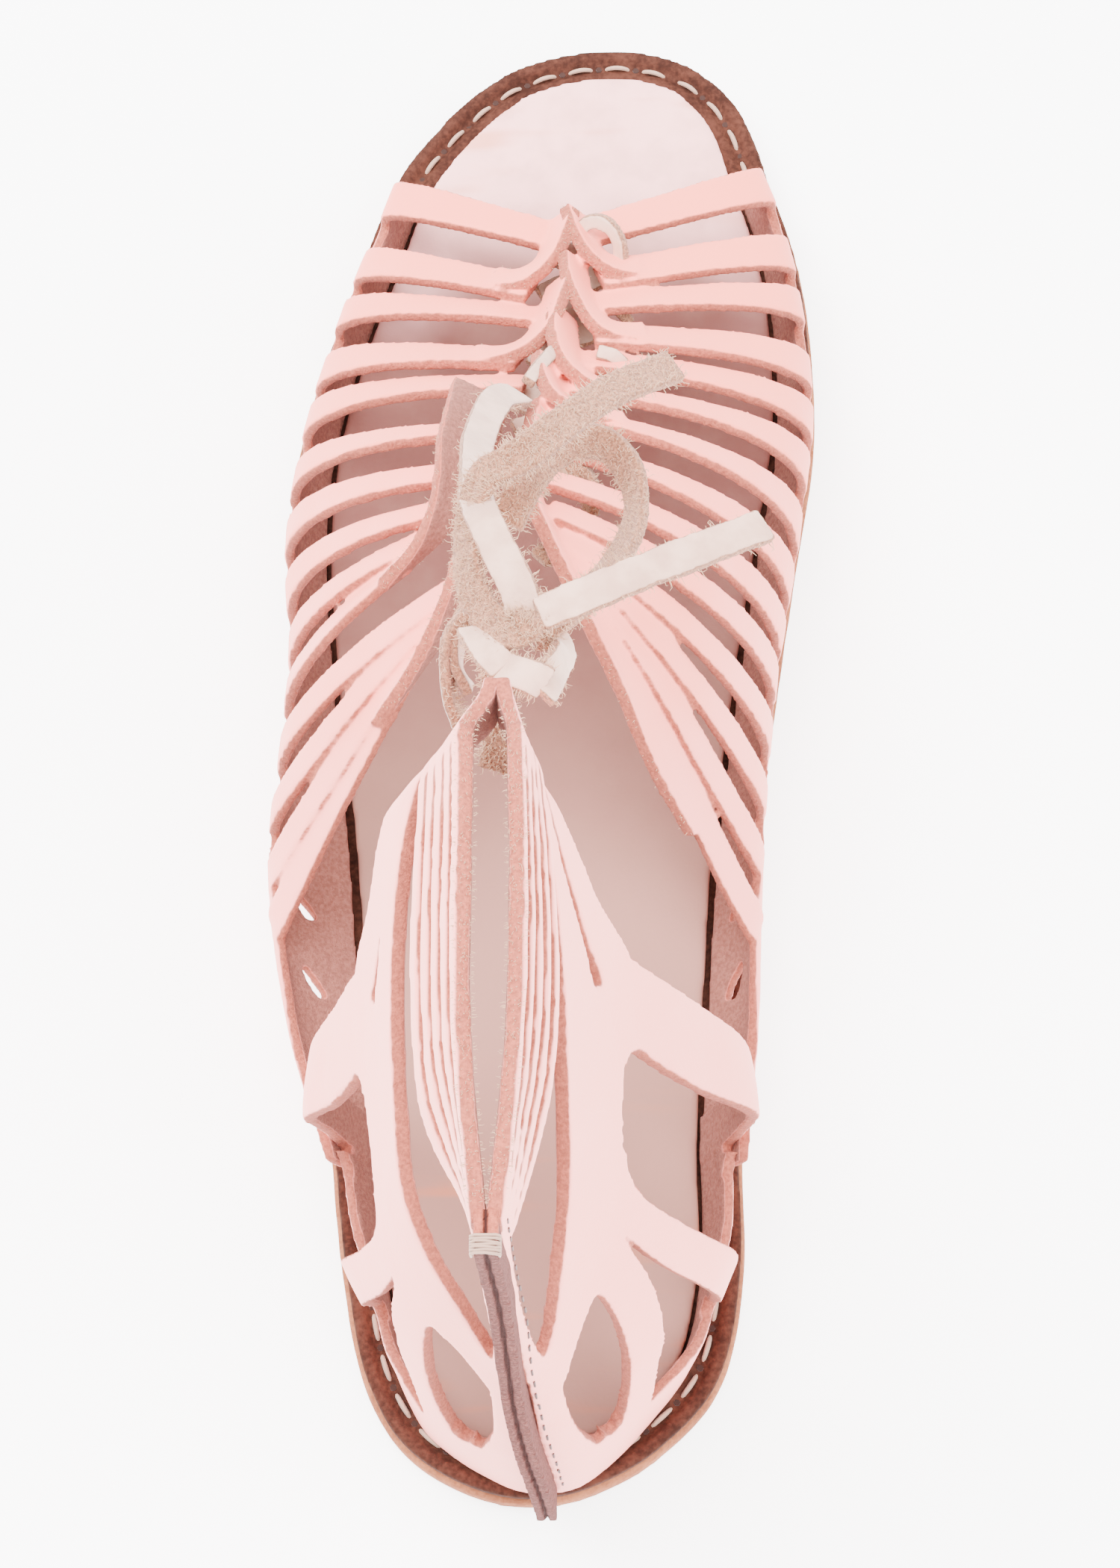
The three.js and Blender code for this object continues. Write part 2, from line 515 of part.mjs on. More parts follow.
function shaftPoint(side, wrap, height) {
  const sideWrap = shaftWrap[side](height);
  const closed = lerp(sideWrap, shaftWrap.back(height), smoothstep(wrap, 0.6, 1));
  const drawn = 1 - (1 - closed) * smoothstep(wrap, -0.02, 0.1);
  const base = heelBase[side](wrap);
  const collar = collarPoint(side, wrap);
  const bell = Math.sin(Math.PI * clamp(wrap / 0.8, 0, 1)) ** 2;
  const out = shaftBulge * bell * shaftSwell(height);
  return new THREE.Vector3(
    lerp(base.x, collar.x, drawn) + side * out, lerp(base.y, collar.y, drawn), collarHeight * height);
}

const vamp = (side) => (u, v) => vampPoint(side, u, v);
const shaft = (side) => (u, v) => shaftPoint(side, u, v);

// Outward normal of a surface on one side of the foot, pointing away from the middle line of the foot,
// which ends above the centre of the heel
const heelCentre = 0.14;
const upShare = 0.2;
function normalAt(surface, u, v, spread = 0.004) {
  const alongU = surface(u + spread, v).sub(surface(u - spread, v));
  const alongV = surface(u, v + spread).sub(surface(u, v - spread));
  const normal = alongU.cross(alongV).normalize();
  const point = surface(u, v);
  const middle = Math.max(point.y, (heelCentre - 0.5) * soleLength);
  const away = new THREE.Vector3(
    point.x - halfBall * collarFront.across, point.y - middle, upShare * (point.z - seatLevel));
  return away.dot(normal) < 0 ? normal.negate() : normal;
}

// Flat thong along a path of points with outward normals, its face on the points
function ribbon(path, thickness) {
  const rings = path.map((station, i) => {
    const before = path[Math.max(i - 1, 0)].point;
    const after = path[Math.min(i + 1, path.length - 1)].point;
    const way = after.clone().sub(before).normalize();
    const face = station.normal.clone().addScaledVector(way, -station.normal.dot(way)).normalize();
    const across = face.clone().cross(way);
    if (station.lean) {
      face.applyAxisAngle(way, station.lean);
      across.applyAxisAngle(way, station.lean);
    }
    const right = station.point.clone().addScaledVector(across, station.right);
    const left = station.point.clone().addScaledVector(across, -station.left);
    return [
      right, left,
      left.clone().addScaledVector(face, -thickness),
      right.clone().addScaledVector(face, -thickness),
    ];
  });
  return loft(rings);
}

// Wider piece of leather: a grid of surface points between two edges, thickened inwards
function panel(surface, rows, across, thickness = upperLeather) {
  const columns = across + 1;
  const outer = [];
  const inner = [];
  rows.forEach((row) => {
    for (let k = 0; k < columns; k++) {
      const u = lerp(row.u0, row.u1, k / across);
      const v = lerp(row.v0, row.v1, k / across);
      const point = surface(u, v);
      const behind = point.clone().addScaledVector(normalAt(surface, u, v), -thickness);
      behind.z = Math.max(behind.z, seatLevel);
      outer.push(point);
      inner.push(behind);
    }
  });
  const positions = [...outer, ...inner].flatMap((p) => [p.x, p.y, p.z]);
  const shift = outer.length;
  const faces = [];
  const quad = (a, b, c, d) => faces.push(a, b, c, a, c, d);
  for (let r = 0; r + 1 < rows.length; r++) {
    for (let k = 0; k < across; k++) {
      const a = r * columns + k;
      quad(a, a + 1, a + columns + 1, a + columns);
      quad(a + shift, a + columns + shift, a + columns + 1 + shift, a + 1 + shift);
    }
    const low = r * columns;
    const high = low + across;
    quad(low, low + columns, low + columns + shift, low + shift);
    quad(high, high + shift, high + columns + shift, high + columns);
  }
  const end = (rows.length - 1) * columns;
  for (let k = 0; k < across; k++) {
    quad(k, k + shift, k + 1 + shift, k + 1);
    quad(end + k, end + k + 1, end + k + 1 + shift, end + k + shift);
  }
  const body = solid(positions, faces);
  return body.volume() > 0 ? body : solid(positions, faces.slice().reverse());
}

// Table rows of a piece made finer by a smooth curve through each column
function finer(rows, steps, keys) {
  const marked = rows.map((row, i) => ({ ...row, place: i / (rows.length - 1) }));
  const curves = Object.fromEntries(keys.map((key) => [key, column(marked, 'place', key)]));
  const result = [];
  for (let i = 0; i <= steps; i++) {
    result.push(Object.fromEntries(keys.map((key) => [key, curves[key](i / steps)])));
  }
  return result;
}

function join(bodies) {
  return wasm.Manifold.union(bodies);
}

// The body without crumbs and closed pockets left where pieces cross
function mainBody(body) {
  return body.decompose().reduce((a, b) => (a.volume() > b.volume() ? a : b));
}

// Vamp straps: straight when seen from above, from the side band up to the lacing line
const strapSteps = 6;
const rootOverlap = 0.07;
function strap(row) {
  const path = [];
  const turnOf = (reach) => clamp((reach - flareShare) / (1 - flareShare), 0, 1) * Math.PI / 2;
  const whole = 1 - Math.cos(turnOf(row.reach));
  for (let i = 0; i <= strapSteps; i++) {
    const share = i / strapSteps;
    const reach = lerp(bandTop(row.root) - rootOverlap, row.reach, share);
    const along = lerp(row.root, row.end, (1 - Math.cos(turnOf(reach))) / whole);
    const width = strapWidth * lerp(row.rootWidth, row.endWidth, share);
    const normal = normalAt(vamp(row.side), along, reach);
    path.push({
      point: vampPoint(row.side, along, reach).addScaledVector(normal, -tuck),
      normal,
      left: width / 2,
      right: width / 2,
      lean: row.side * THREE.MathUtils.degToRad(row.lean) * smoothstep(share, 0.1, 0.9),
    });
  }
  return ribbon(path, upperLeather - 2 * tuck);
}

// Strips that stand up along the lacing line and join the strap ends
function standingStrip(strip) {
  const path = finer(strip.path, strip.path.length + 1, ['along', 'reach', 'lean', 'width']).map((row) => {
    const lean = THREE.MathUtils.degToRad(row.lean);
    return {
      point: vampPoint(strip.side, row.along, row.reach),
      normal: normalAt(vamp(strip.side), row.along, row.reach),
      left: strip.side > 0 ? loopHeight * row.width : 1,
      right: strip.side > 0 ? 1 : loopHeight * row.width,
      lean: -strip.side * lean,
    };
  });
  return ribbon(path, ridgeLeather);
}

// Low band that the straps grow from, standing in the seam between midsole and insole
function vampBand(side) {
  const steps = 20;
  const from = 0.878;
  const to = 0.2;
  const rows = [];
  for (let i = 0; i <= steps; i++) {
    const along = lerp(from, to, i / steps);
    rows.push({ u0: along, v0: 0, u1: along, v1: bandTop(along) });
  }
  return panel(vamp(side), rows, 2);
}

function heelBand(side) {
  const rows = finer(heelBandRows, 12, ['wrap', 'height']).map((row) => ({
    u0: row.wrap, v0: seatLevel / collarHeight, u1: row.wrap, v1: row.height,
  }));
  return panel(shaft(side), rows, 2);
}

// Surface pushed in a little, so that a strip runs cleanly into the piece that it grows from
function tucked(surface) {
  return (u, v) => surface(u, v).addScaledVector(normalAt(surface, u, v), -tuck);
}

function shaftPiece(side, name) {
  const piece = shaftPieces[name];
  const rows = finer(piece.rows, piece.steps, ['wrap', 'low', 'wrapHigh', 'high']).map((row) => ({
    u0: row.wrap, v0: row.low, u1: row.wrapHigh, v1: row.high,
  }));
  if (coverPieces.includes(name)) return panel(shaft(side), rows, piece.across);
  return panel(tucked(shaft(side)), rows, piece.across, upperLeather - 2 * tuck);
}

// Thin strips round the collar, between the tab at the lacing and the tab at the back seam
function collarStrip(side, index) {
  const steps = 9;
  const rows = [];
  for (let i = 0; i <= steps; i++) {
    const wrap = lerp(0.07, 0.95, i / steps);
    const toMiddle = Math.sin(Math.PI * wrap);
    const end = wrap < 0.5 ? collarFrontEdge : collarBackEdge;
    const low = lerp(end.low, collarMiddleEdge.low, toMiddle);
    const high = lerp(end.high, collarMiddleEdge.high, toMiddle);
    const slit = slitWidth / collarHeight * lerp(0.35, 1, toMiddle);
    const pitch = (high - low + slit) / collarStrips;
    rows.push({ u0: wrap, v0: low + pitch * index, u1: wrap, v1: low + pitch * (index + 1) - slit });
  }
  return panel(tucked(shaft(side)), rows, 1, upperLeather - 2 * tuck);
}

// Back seam: both edges of leather turned out side by side
function backFin() {
  const steps = 12;
  const path = [];
  for (let i = 0; i <= steps; i++) {
    const height = lerp((seatLevel + 0.6) / collarHeight, 1.003, i / steps);
    const left = shaftPoint(-1, 1, height);
    const right = shaftPoint(1, 1, height);
    path.push({
      point: left.lerp(right, 0.5).add(new THREE.Vector3(0, -finDepth, 0)),
      normal: new THREE.Vector3(0, -1, 0),
      left: upperLeather,
      right: upperLeather,
    });
  }
  return ribbon(path, finDepth + upperLeather);
}

// Slits and slots are cut through the leather by a thicker piece of the same surface
function cutter(surface, rows) {
  const moved = (u, v) => surface(u, v).addScaledVector(normalAt(surface, u, v), upperLeather);
  return panel(moved, rows, 1, 3 * upperLeather);
}

function panelSlit(side, row) {
  const rows = [];
  for (let i = 0; i <= 6; i++) {
    const wrap = lerp(row.from, row.to, i / 6);
    const half = (i === 6 ? 1.6 : i / 6 + 0.2) * slitWidth / 2 / collarHeight;
    const height = lerp(row.fromHeight, row.toHeight, i / 6);
    rows.push({ u0: wrap - half * 0.8, v0: height - half, u1: wrap + half * 0.8, v1: height + half });
  }
  return cutter(shaft(side), rows);
}

function waistSlot(side, row) {
  const rows = [0, 0.35, 0.75, 1].map((share) => {
    const along = lerp(row.from, row.to, share);
    const reach = lerp(row.fromReach, row.toReach, share);
    const half = slotWidth / 2 * lerp(0.25, 1, Math.sin(Math.PI * 0.75 * share)) / 100;
    return { u0: along, v0: reach - half, u1: along, v1: reach + half };
  });
  return cutter(vamp(side), rows);
}

function upper() {
  const bodies = strapRows.map(strap);
  Object.values(stripRows).forEach((strip) => bodies.push(standingStrip(strip)));
  [-1, 1].forEach((side) => {
    bodies.push(vampBand(side), heelBand(side));
    Object.keys(shaftPieces).forEach((name) => bodies.push(shaftPiece(side, name)));
    for (let i = 0; i < collarStrips; i++) bodies.push(collarStrip(side, i));
  });
  bodies.push(backFin());
  const cuts = slitRows.map((row) => panelSlit(row.side, row));
  slotRows.forEach((row) => [-1, 1].forEach((side) => cuts.push(waistSlot(side, row))));
  return mainBody(join(bodies).subtract(join(cuts)).simplify(weld));
}

// Thong along a smooth route; its face looks up, tilted about the way that it runs
function thong(route, steps) {
  const points = route.map((p) => new THREE.Vector3(p.x, p.y, p.z));
  const curve = new THREE.CatmullRomCurve3(points, false, 'centripetal');
  const path = [];
  for (let i = 0; i <= steps; i++) {
    const share = i / steps * (route.length - 1);
    const from = Math.min(Math.floor(share), route.length - 2);
    const tilt = lerp(route[from].tilt, route[from + 1].tilt, share - from);
    path.push({
      point: curve.getPoint(i / steps),
      normal: new THREE.Vector3(0, 0, 1),
      left: thongWidth / 2,
      right: thongWidth / 2,
      lean: THREE.MathUtils.degToRad(tilt),
    });
  }
  return ribbon(path, thongThickness);
}

// Lacing under the crest: straight bars of thong from side to side, below the strap ends
const barDepth = upperLeather + 10 * fitGap;
function laceCrossings() {
  const corner = (row) => new THREE.Vector3(
    halfBall * crestAcross(row.along) + row.across,
    (row.along - 0.5) * soleLength,
    instepHeight * crestShare(row.along) - barDepth);
  const bars = [];
  for (let i = 0; i + 1 < laceBars.length; i++) {
    const ends = [corner(laceBars[i]), corner(laceBars[i + 1])];
    bars.push(ribbon(ends.map((point) => ({
      point, normal: new THREE.Vector3(0, 0, 1), left: thongWidth / 2, right: thongWidth / 2,
    })), thongThickness));
  }
  return join(bars);
}

// Knot: the thong passed over and under itself in three turns
function laceKnot(clearance = 0) {
  const unit = (knotSpan - thongWidth) / 6;
  const turns = 3;
  const steps = 8;
  const pieces = [];
  for (let part = 0; part < turns; part++) {
    const path = [];
    for (let i = 0; i <= steps; i++) {
      const t = (part + lerp(-0.03, 1.03, i / steps)) * 2 * Math.PI / turns;
      path.push({
        point: new THREE.Vector3(
          knotCentre.x + unit * (Math.sin(t) + 2 * Math.sin(2 * t)),
          knotCentre.y + unit * (Math.cos(t) - 2 * Math.cos(2 * t)),
          knotCentre.z + clearance - thongThickness * Math.sin(3 * t)),
        normal: new THREE.Vector3(0, 0, 1),
        left: thongWidth / 2 + clearance,
        right: thongWidth / 2 + clearance,
      });
    }
    pieces.push(ribbon(path, thongThickness + 2 * clearance));
  }
  return mainBody(join(pieces));
}

// The sandal
const sandal = new THREE.Group();

function addMesh(name, body, color, roughness) {
  const mesh = body.getMesh();
  const shape = new THREE.BufferGeometry();
  shape.setAttribute('position', new THREE.BufferAttribute(new Float32Array(mesh.vertProperties), 3));
  shape.setIndex(new THREE.BufferAttribute(new Uint32Array(mesh.triVerts), 1));
  shape.computeVertexNormals();
  const part = new THREE.Mesh(shape, new THREE.MeshStandardMaterial({ color, roughness, metalness: 0 }));
  part.name = name;
  sandal.add(part);
}

addMesh('outsole', soleLayer(0, 0, outsoleThickness), 0xcda58c, 0.75);
addMesh('midsole', soleLayer(midsoleStep, midsoleBase, midsoleBase + midsoleThickness), 0xaa7d6e, 0.8);
addMesh('insole', soleLayer(insoleMargin, seatLevel, seatLevel + insoleThickness), 0xebdcdc, 0.7);
addMesh('upper', upper(), 0xf3d3cc, 0.6);
addMesh('lace_crossings', laceCrossings(), 0xe1d2c8, 0.7);
addMesh('lace_knot', laceKnot(), 0xe1d2c8, 0.8);
const knotRoom = laceKnot(1.6 * fitGap);
Object.entries(lacePaths).forEach(([name, path]) => {
  addMesh(`lace_${name}`, mainBody(thong(path.route, path.steps).subtract(knotRoom)), 0xe1d2c8, 0.8);
});

export default sandal;
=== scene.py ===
import bisect
import math
import random

import bmesh
import bpy
import numpy as np
from mathutils import Matrix, Vector, noise
from mathutils.bvhtree import BVHTree


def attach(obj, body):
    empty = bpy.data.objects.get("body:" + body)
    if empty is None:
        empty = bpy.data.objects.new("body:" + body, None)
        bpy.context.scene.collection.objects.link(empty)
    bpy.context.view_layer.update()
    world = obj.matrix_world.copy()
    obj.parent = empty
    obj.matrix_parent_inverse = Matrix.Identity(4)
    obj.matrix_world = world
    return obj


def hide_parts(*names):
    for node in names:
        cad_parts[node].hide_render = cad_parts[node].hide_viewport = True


bl_info = {
    "name": "Caliga sandal",
    "version": (1, 0, 0),
    "blender": (4, 5, 0),
    "location": "3D View > Sidebar > Sandal",
    "description": "Dresses the packed sandal: cut leather straps, stitched sole and tied lace",
    "category": "Object",
}

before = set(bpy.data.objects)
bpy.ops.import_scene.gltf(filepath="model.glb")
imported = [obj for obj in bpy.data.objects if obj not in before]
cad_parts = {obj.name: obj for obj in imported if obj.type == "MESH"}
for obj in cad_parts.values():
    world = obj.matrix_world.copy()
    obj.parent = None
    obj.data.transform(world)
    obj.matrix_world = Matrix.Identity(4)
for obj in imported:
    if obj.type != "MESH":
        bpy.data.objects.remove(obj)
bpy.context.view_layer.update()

# Sizes of the sandal, in millimetres
MM = 0.001
SOLE_LENGTH = 280
HALF_BALL = 49.4
OUTSOLE_TOP = 5
MIDSOLE_TOP = 8
MIDSOLE_STEP = 0.8
SEAT = 8.3
INSOLE_TOP = 10.8
INSOLE_MARGIN = 8.2
UPPER_INSET = 5.9
LEATHER = 2
TOE_SPRING = 3
INSTEP = 62
COLLAR = 135
SIDE_BULGE = 6
BAND = 10
STRAP_WIDTH = 7.2
COLLAR_OPENING = 5.5
SHAFT_BULGE = 9
FIN_DEPTH = 4.5
FIN_HALF = 1.75
LOOP_HEIGHT = 5
COLLAR_SLIT = 1.3
PANEL_SLIT = 1.7
RIDGE_LEATHER = 2.5
SHAFT_LEATHER = 2.5
THONG_WIDTH = 5.6
THONG_THICKNESS = 1.8
STITCH_INSET = 4.4
CORNER_OVERLAP = 0.012
SLIT_STEPS = 12
SLOT_STEPS = 8
HEEL_CENTRE = 0.14
UP_SHARE = 0.2
FLARE = 0.2
WAIST_LEVEL = SEAT + BAND + 2

# Radii of threads and loose fibres, in millimetres, and how often the leather waves
SOLE_THREAD = 0.48
STITCH_HOLE_SHADE = 0.65
WRAP_THREAD = 0.22
SEAM_THREAD = 0.2
LACE_FIBRE = 0.075
LEATHER_FIBRE = 0.055
WAVE_SCALE = 0.16

# Camera, in metres, and lights: name, place in metres, size, power
CAMERA_PLACE = (0.00106, -0.22729, 0.60046)
CAMERA_TARGET = (0.00106, -0.00874, 0)
CAMERA_LENS = 80.23
CAMERA_SENSOR = 36
LIGHTS = (
    ("key", (-0.7, 0.5, 1.3), 1.2, 88),
    ("fill", (0.9, -0.6, 1.0), 1.4, 42),
    ("top", (0, -0.2, 1.6), 1.6, 60),
)

# Outline: share of the length, left and right edge as shares of half the ball width
OUTLINE = (
    (0, -0.083, -0.083),
    (0.006, -0.27, 0.115),
    (0.03, -0.505, 0.365),
    (0.07, -0.65, 0.572),
    (0.14, -0.738, 0.665),
    (0.22, -0.79, 0.668),
    (0.32, -0.835, 0.7),
    (0.42, -0.885, 0.745),
    (0.52, -0.955, 0.825),
    (0.62, -0.998, 0.915),
    (0.69, -0.975, 0.983),
    (0.76, -0.89, 0.993),
    (0.83, -0.762, 0.955),
    (0.9, -0.62, 0.845),
    (0.95, -0.41, 0.745),
    (0.982, -0.19, 0.585),
    (1, 0.237, 0.237),
)

# Vamp sections: share of the length, left and right bulge, place and height of the lacing line
VAMP = (
    (0.2, 0.1, 0.1, -0.16, 0.42),
    (0.28, 0.9, 0.25, -0.16, 0.46),
    (0.36, 1.25, 0.18, -0.15, 0.52),
    (0.41, 1.1, 0.12, -0.14, 0.7),
    (0.46, 0.6, 0.03, -0.12, 0.9),
    (0.52, 0.05, -0.08, -0.09, 1),
    (0.6, -0.08, -0.02, -0.06, 0.95),
    (0.7, -0.45, -0.2, 0, 0.69),
    (0.8, -0.55, -0.5, 0.05, 0.525),
    (0.9, -0.7, -0.75, 0.07, 0.43),
)

# Shaft levels: height, wrap of the left, right and back, bulge
SHAFT = (
    (0.06, 0, 0, 0, 0),
    (0.15, 0, 0, 0.04, 0.6),
    (0.26, 0, 0.06, 0.15, 1),
    (0.37, 0.03, 0.22, 0.31, 0.5),
    (0.53, 0.18, 0.55, 0.57, 0.08),
    (0.73, 0.45, 0.84, 0.83, 0),
    (0.84, 0.68, 0.91, 0.92, 0),
    (0.93, 0.85, 0.96, 0.97, 0),
    (1.02, 1, 1, 1, 0),
)
COLLAR_FRONT = (-0.166, 0.357)
COLLAR_BACK = (-0.184, 0.068)
SEAM_FOOT = (-0.03, 0.004)

# Straps: root and end along the foot, reach, root and end width, lean at the end
STRAPS = {
    -1: (
        (0.857, 0.809, 0.99, 1.15, 1, 8),
        (0.808, 0.766, 0.93, 1.05, 1, 14),
        (0.771, 0.741, 0.97, 1, 0.8, 16),
        (0.728, 0.704, 0.93, 1, 1.1, 20),
        (0.692, 0.68, 0.95, 1, 0.85, 12),
        (0.648, 0.634, 0.9, 1, 0.8, 14),
        (0.606, 0.597, 0.89, 1, 0.8, 16),
        (0.566, 0.572, 0.84, 0.95, 0.65, 18),
        (0.529, 0.553, 0.79, 0.9, 0.6, 20),
        (0.497, 0.54, 0.74, 0.85, 0.6, 26),
        (0.459, 0.52, 0.87, 0.9, 0.6, 12),
        (0.419, 0.51, 0.85, 0.85, 0.5, 16),
        (0.379, 0.497, 0.82, 0.8, 0.5, 20),
        (0.345, 0.484, 0.79, 0.8, 0.55, 26),
    ),
    1: (
        (0.868, 0.812, 0.99, 1.15, 1, 8),
        (0.817, 0.777, 0.93, 1.05, 1.05, 10),
        (0.778, 0.752, 0.97, 1, 0.8, 12),
        (0.729, 0.725, 0.93, 1, 1.05, 16),
        (0.692, 0.703, 0.97, 1, 0.85, 12),
        (0.656, 0.676, 0.98, 1, 0.8, 14),
        (0.614, 0.65, 0.985, 1, 0.8, 16),
        (0.575, 0.62, 0.99, 0.95, 0.75, 18),
        (0.54, 0.592, 0.985, 0.95, 0.7, 18),
        (0.508, 0.568, 0.97, 0.9, 0.65, 18),
        (0.47, 0.55, 0.945, 0.9, 0.6, 16),
        (0.43, 0.538, 0.915, 0.85, 0.55, 18),
        (0.388, 0.525, 0.885, 0.8, 0.55, 22),
        (0.343, 0.512, 0.86, 0.8, 0.6, 26),
    ),
}

# Standing strips along the lacing line: share of the length, reach, lean, width
STRIPS = {
    -1: (
        ((0.826, 0.958, 50, 1.15), (0.806, 0.944, 52, 1.25), (0.789, 0.926, 46, 1.2),
         (0.781, 0.885, 24, 1.15), (0.783, 0.84, 8, 0.9)),
        ((0.768, 0.966, 50, 1.15), (0.742, 0.952, 52, 1.3), (0.722, 0.932, 42, 1.25),
         (0.7135, 0.89, 26, 1.15), (0.715, 0.83, 8, 0.95)),
        ((0.652, 0.91, 150, 1.9), (0.62, 0.905, 145, 1.9), (0.59, 0.885, 135, 1.8),
         (0.562, 0.83, 110, 1.1), (0.545, 0.76, 75, 0.6), (0.532, 0.68, 50, 0.4)),
        ((0.53, 0.88, 115, 0.9), (0.505, 0.85, 105, 0.9), (0.478, 0.78, 80, 0.7),
         (0.45, 0.68, 55, 0.4)),
    ),
    1: (
        ((0.827, 0.958, 50, 1.2), (0.81, 0.942, 52, 1.3), (0.797, 0.918, 44, 1.25),
         (0.792, 0.885, 24, 1.15), (0.793, 0.84, 8, 0.9)),
        ((0.786, 0.958, 50, 1.15), (0.764, 0.945, 52, 1.3), (0.744, 0.918, 46, 1.25),
         (0.735, 0.885, 24, 1.15), (0.735, 0.83, 8, 0.9)),
        ((0.738, 0.968, 50, 1.1), (0.713, 0.958, 50, 1.35), (0.692, 0.935, 42, 1.3),
         (0.682, 0.895, 24, 1.15), (0.681, 0.84, 8, 0.9)),
        ((0.694, 0.988, 50, 1.1), (0.67, 0.97, 52, 1.3), (0.656, 0.945, 42, 1.25),
         (0.653, 0.905, 24, 1.1), (0.65, 0.85, 8, 0.9)),
        ((0.65, 0.99, 58, 0.65), (0.602, 0.99, 70, 1), (0.566, 0.975, 70, 1.1),
         (0.53, 0.915, 60, 0.9), (0.5, 0.855, 55, 0.8), (0.465, 0.775, 52, 0.7),
         (0.43, 0.69, 45, 0.6), (0.395, 0.58, 30, 0.4)),
    ),
}

# Pieces of the shaft: low edge wrap and height, high edge wrap and height
PANEL = (
    (0.02, 0.8, 0.02, 0.9),
    (0.1, 0.68, 0.12, 0.8),
    (0.18, 0.59, 0.24, 0.745),
    (0.25, 0.5, 0.34, 0.72),
    (0.38, 0.51, 0.44, 0.705),
    (0.5, 0.525, 0.55, 0.692),
    (0.62, 0.505, 0.66, 0.665),
    (0.71, 0.475, 0.76, 0.625),
    (0.8, 0.473, 0.85, 0.575),
    (0.88, 0.445, 0.93, 0.51),
    (0.95, 0.385, 1, 0.48),
)
BACK_STRIP = (
    (0.93, 0.46, 0.995, 0.475),
    (0.93, 0.3, 0.995, 0.3),
    (0.905, 0.2, 0.99, 0.2),
    (0.88, 0.13, 0.985, 0.13),
)
FRONT_STRAP = (
    (0.245, 0.54, 0.395, 0.54),
    (0.25, 0.4, 0.395, 0.4),
    (0.262, 0.28, 0.38, 0.28),
    (0.29, 0.18, 0.37, 0.18),
    (0.32, 0.065, 0.39, 0.065),
)
MIDDLE_STRAP = (
    (0.61, 0.53, 0.695, 0.52),
    (0.615, 0.46, 0.685, 0.43),
    (0.595, 0.34, 0.66, 0.32),
    (0.575, 0.22, 0.635, 0.2),
    (0.56, 0.09, 0.61, 0.09),
)
CURVED_STRAP = (
    (0.695, 0.5, 0.79, 0.5),
    (0.705, 0.4, 0.79, 0.41),
    (0.735, 0.31, 0.803, 0.33),
    (0.772, 0.24, 0.828, 0.26),
    (0.805, 0.14, 0.87, 0.17),
)
FRONT_TAB = (
    (-0.035, 0.833, -0.035, 0.925),
    (0.05, 0.825, 0.05, 0.94),
    (0.1, 0.825, 0.1, 0.955),
)
BACK_TAB = (
    (0.93, 0.855, 0.93, 1),
    (0.96, 0.865, 0.96, 0.998),
    (1, 0.875, 1, 0.996),
)
SEAM_FLANGE = (
    (0.955, 0.9, 1, 0.9),
    (0.965, 0.75, 1, 0.75),
    (0.965, 0.6, 1, 0.6),
    (0.945, 0.465, 0.998, 0.465),
)
HEEL_BAND = (
    (0.36, 0.12),
    (0.5, 0.12),
    (0.62, 0.105),
    (0.72, 0.155),
    (0.8, 0.165),
    (0.9, 0.2),
    (0.985, 0.218),
)

# Round corners of the windows: wrap and height of the corner, reach along both edges from it
FILLETS = (
    (0.394, 0.514, 0.045, -0.04),
    (0.614, 0.508, -0.04, -0.045),
    (0.606, 0.106, -0.035, 0.03),
    (0.612, 0.104, 0.03, 0.03),
    (0.788, 0.478, 0.028, -0.045),
    (0.931, 0.44, -0.03, -0.045),
    (0.862, 0.182, 0.022, 0.03),
    (0.892, 0.192, -0.022, 0.035),
    (0.39, 0.12, 0.035, 0.03),
)

# Slits of the side panels, by side: wrap and height of the start, then of the end
PANEL_SLITS = {1: (0.08, 0.775, 0.34, 0.585), -1: (0.27, 0.665, 0.335, 0.6)}

# Slots through the edge band: share of the length and reach of the start, then of the end
WAIST_SLOTS = ((0.376, 0.11, 0.359, 0.072), (0.33, 0.11, 0.308, 0.068))
SLOT_WIDTH = {-1: 2.7, 1: 4.6}

# Strips of the collar and how far each stands out from the next, by side, in millimetres
COLLAR_STRIPS = 5
COLLAR_SPREAD = {-1: 0.2, 1: 0.45}

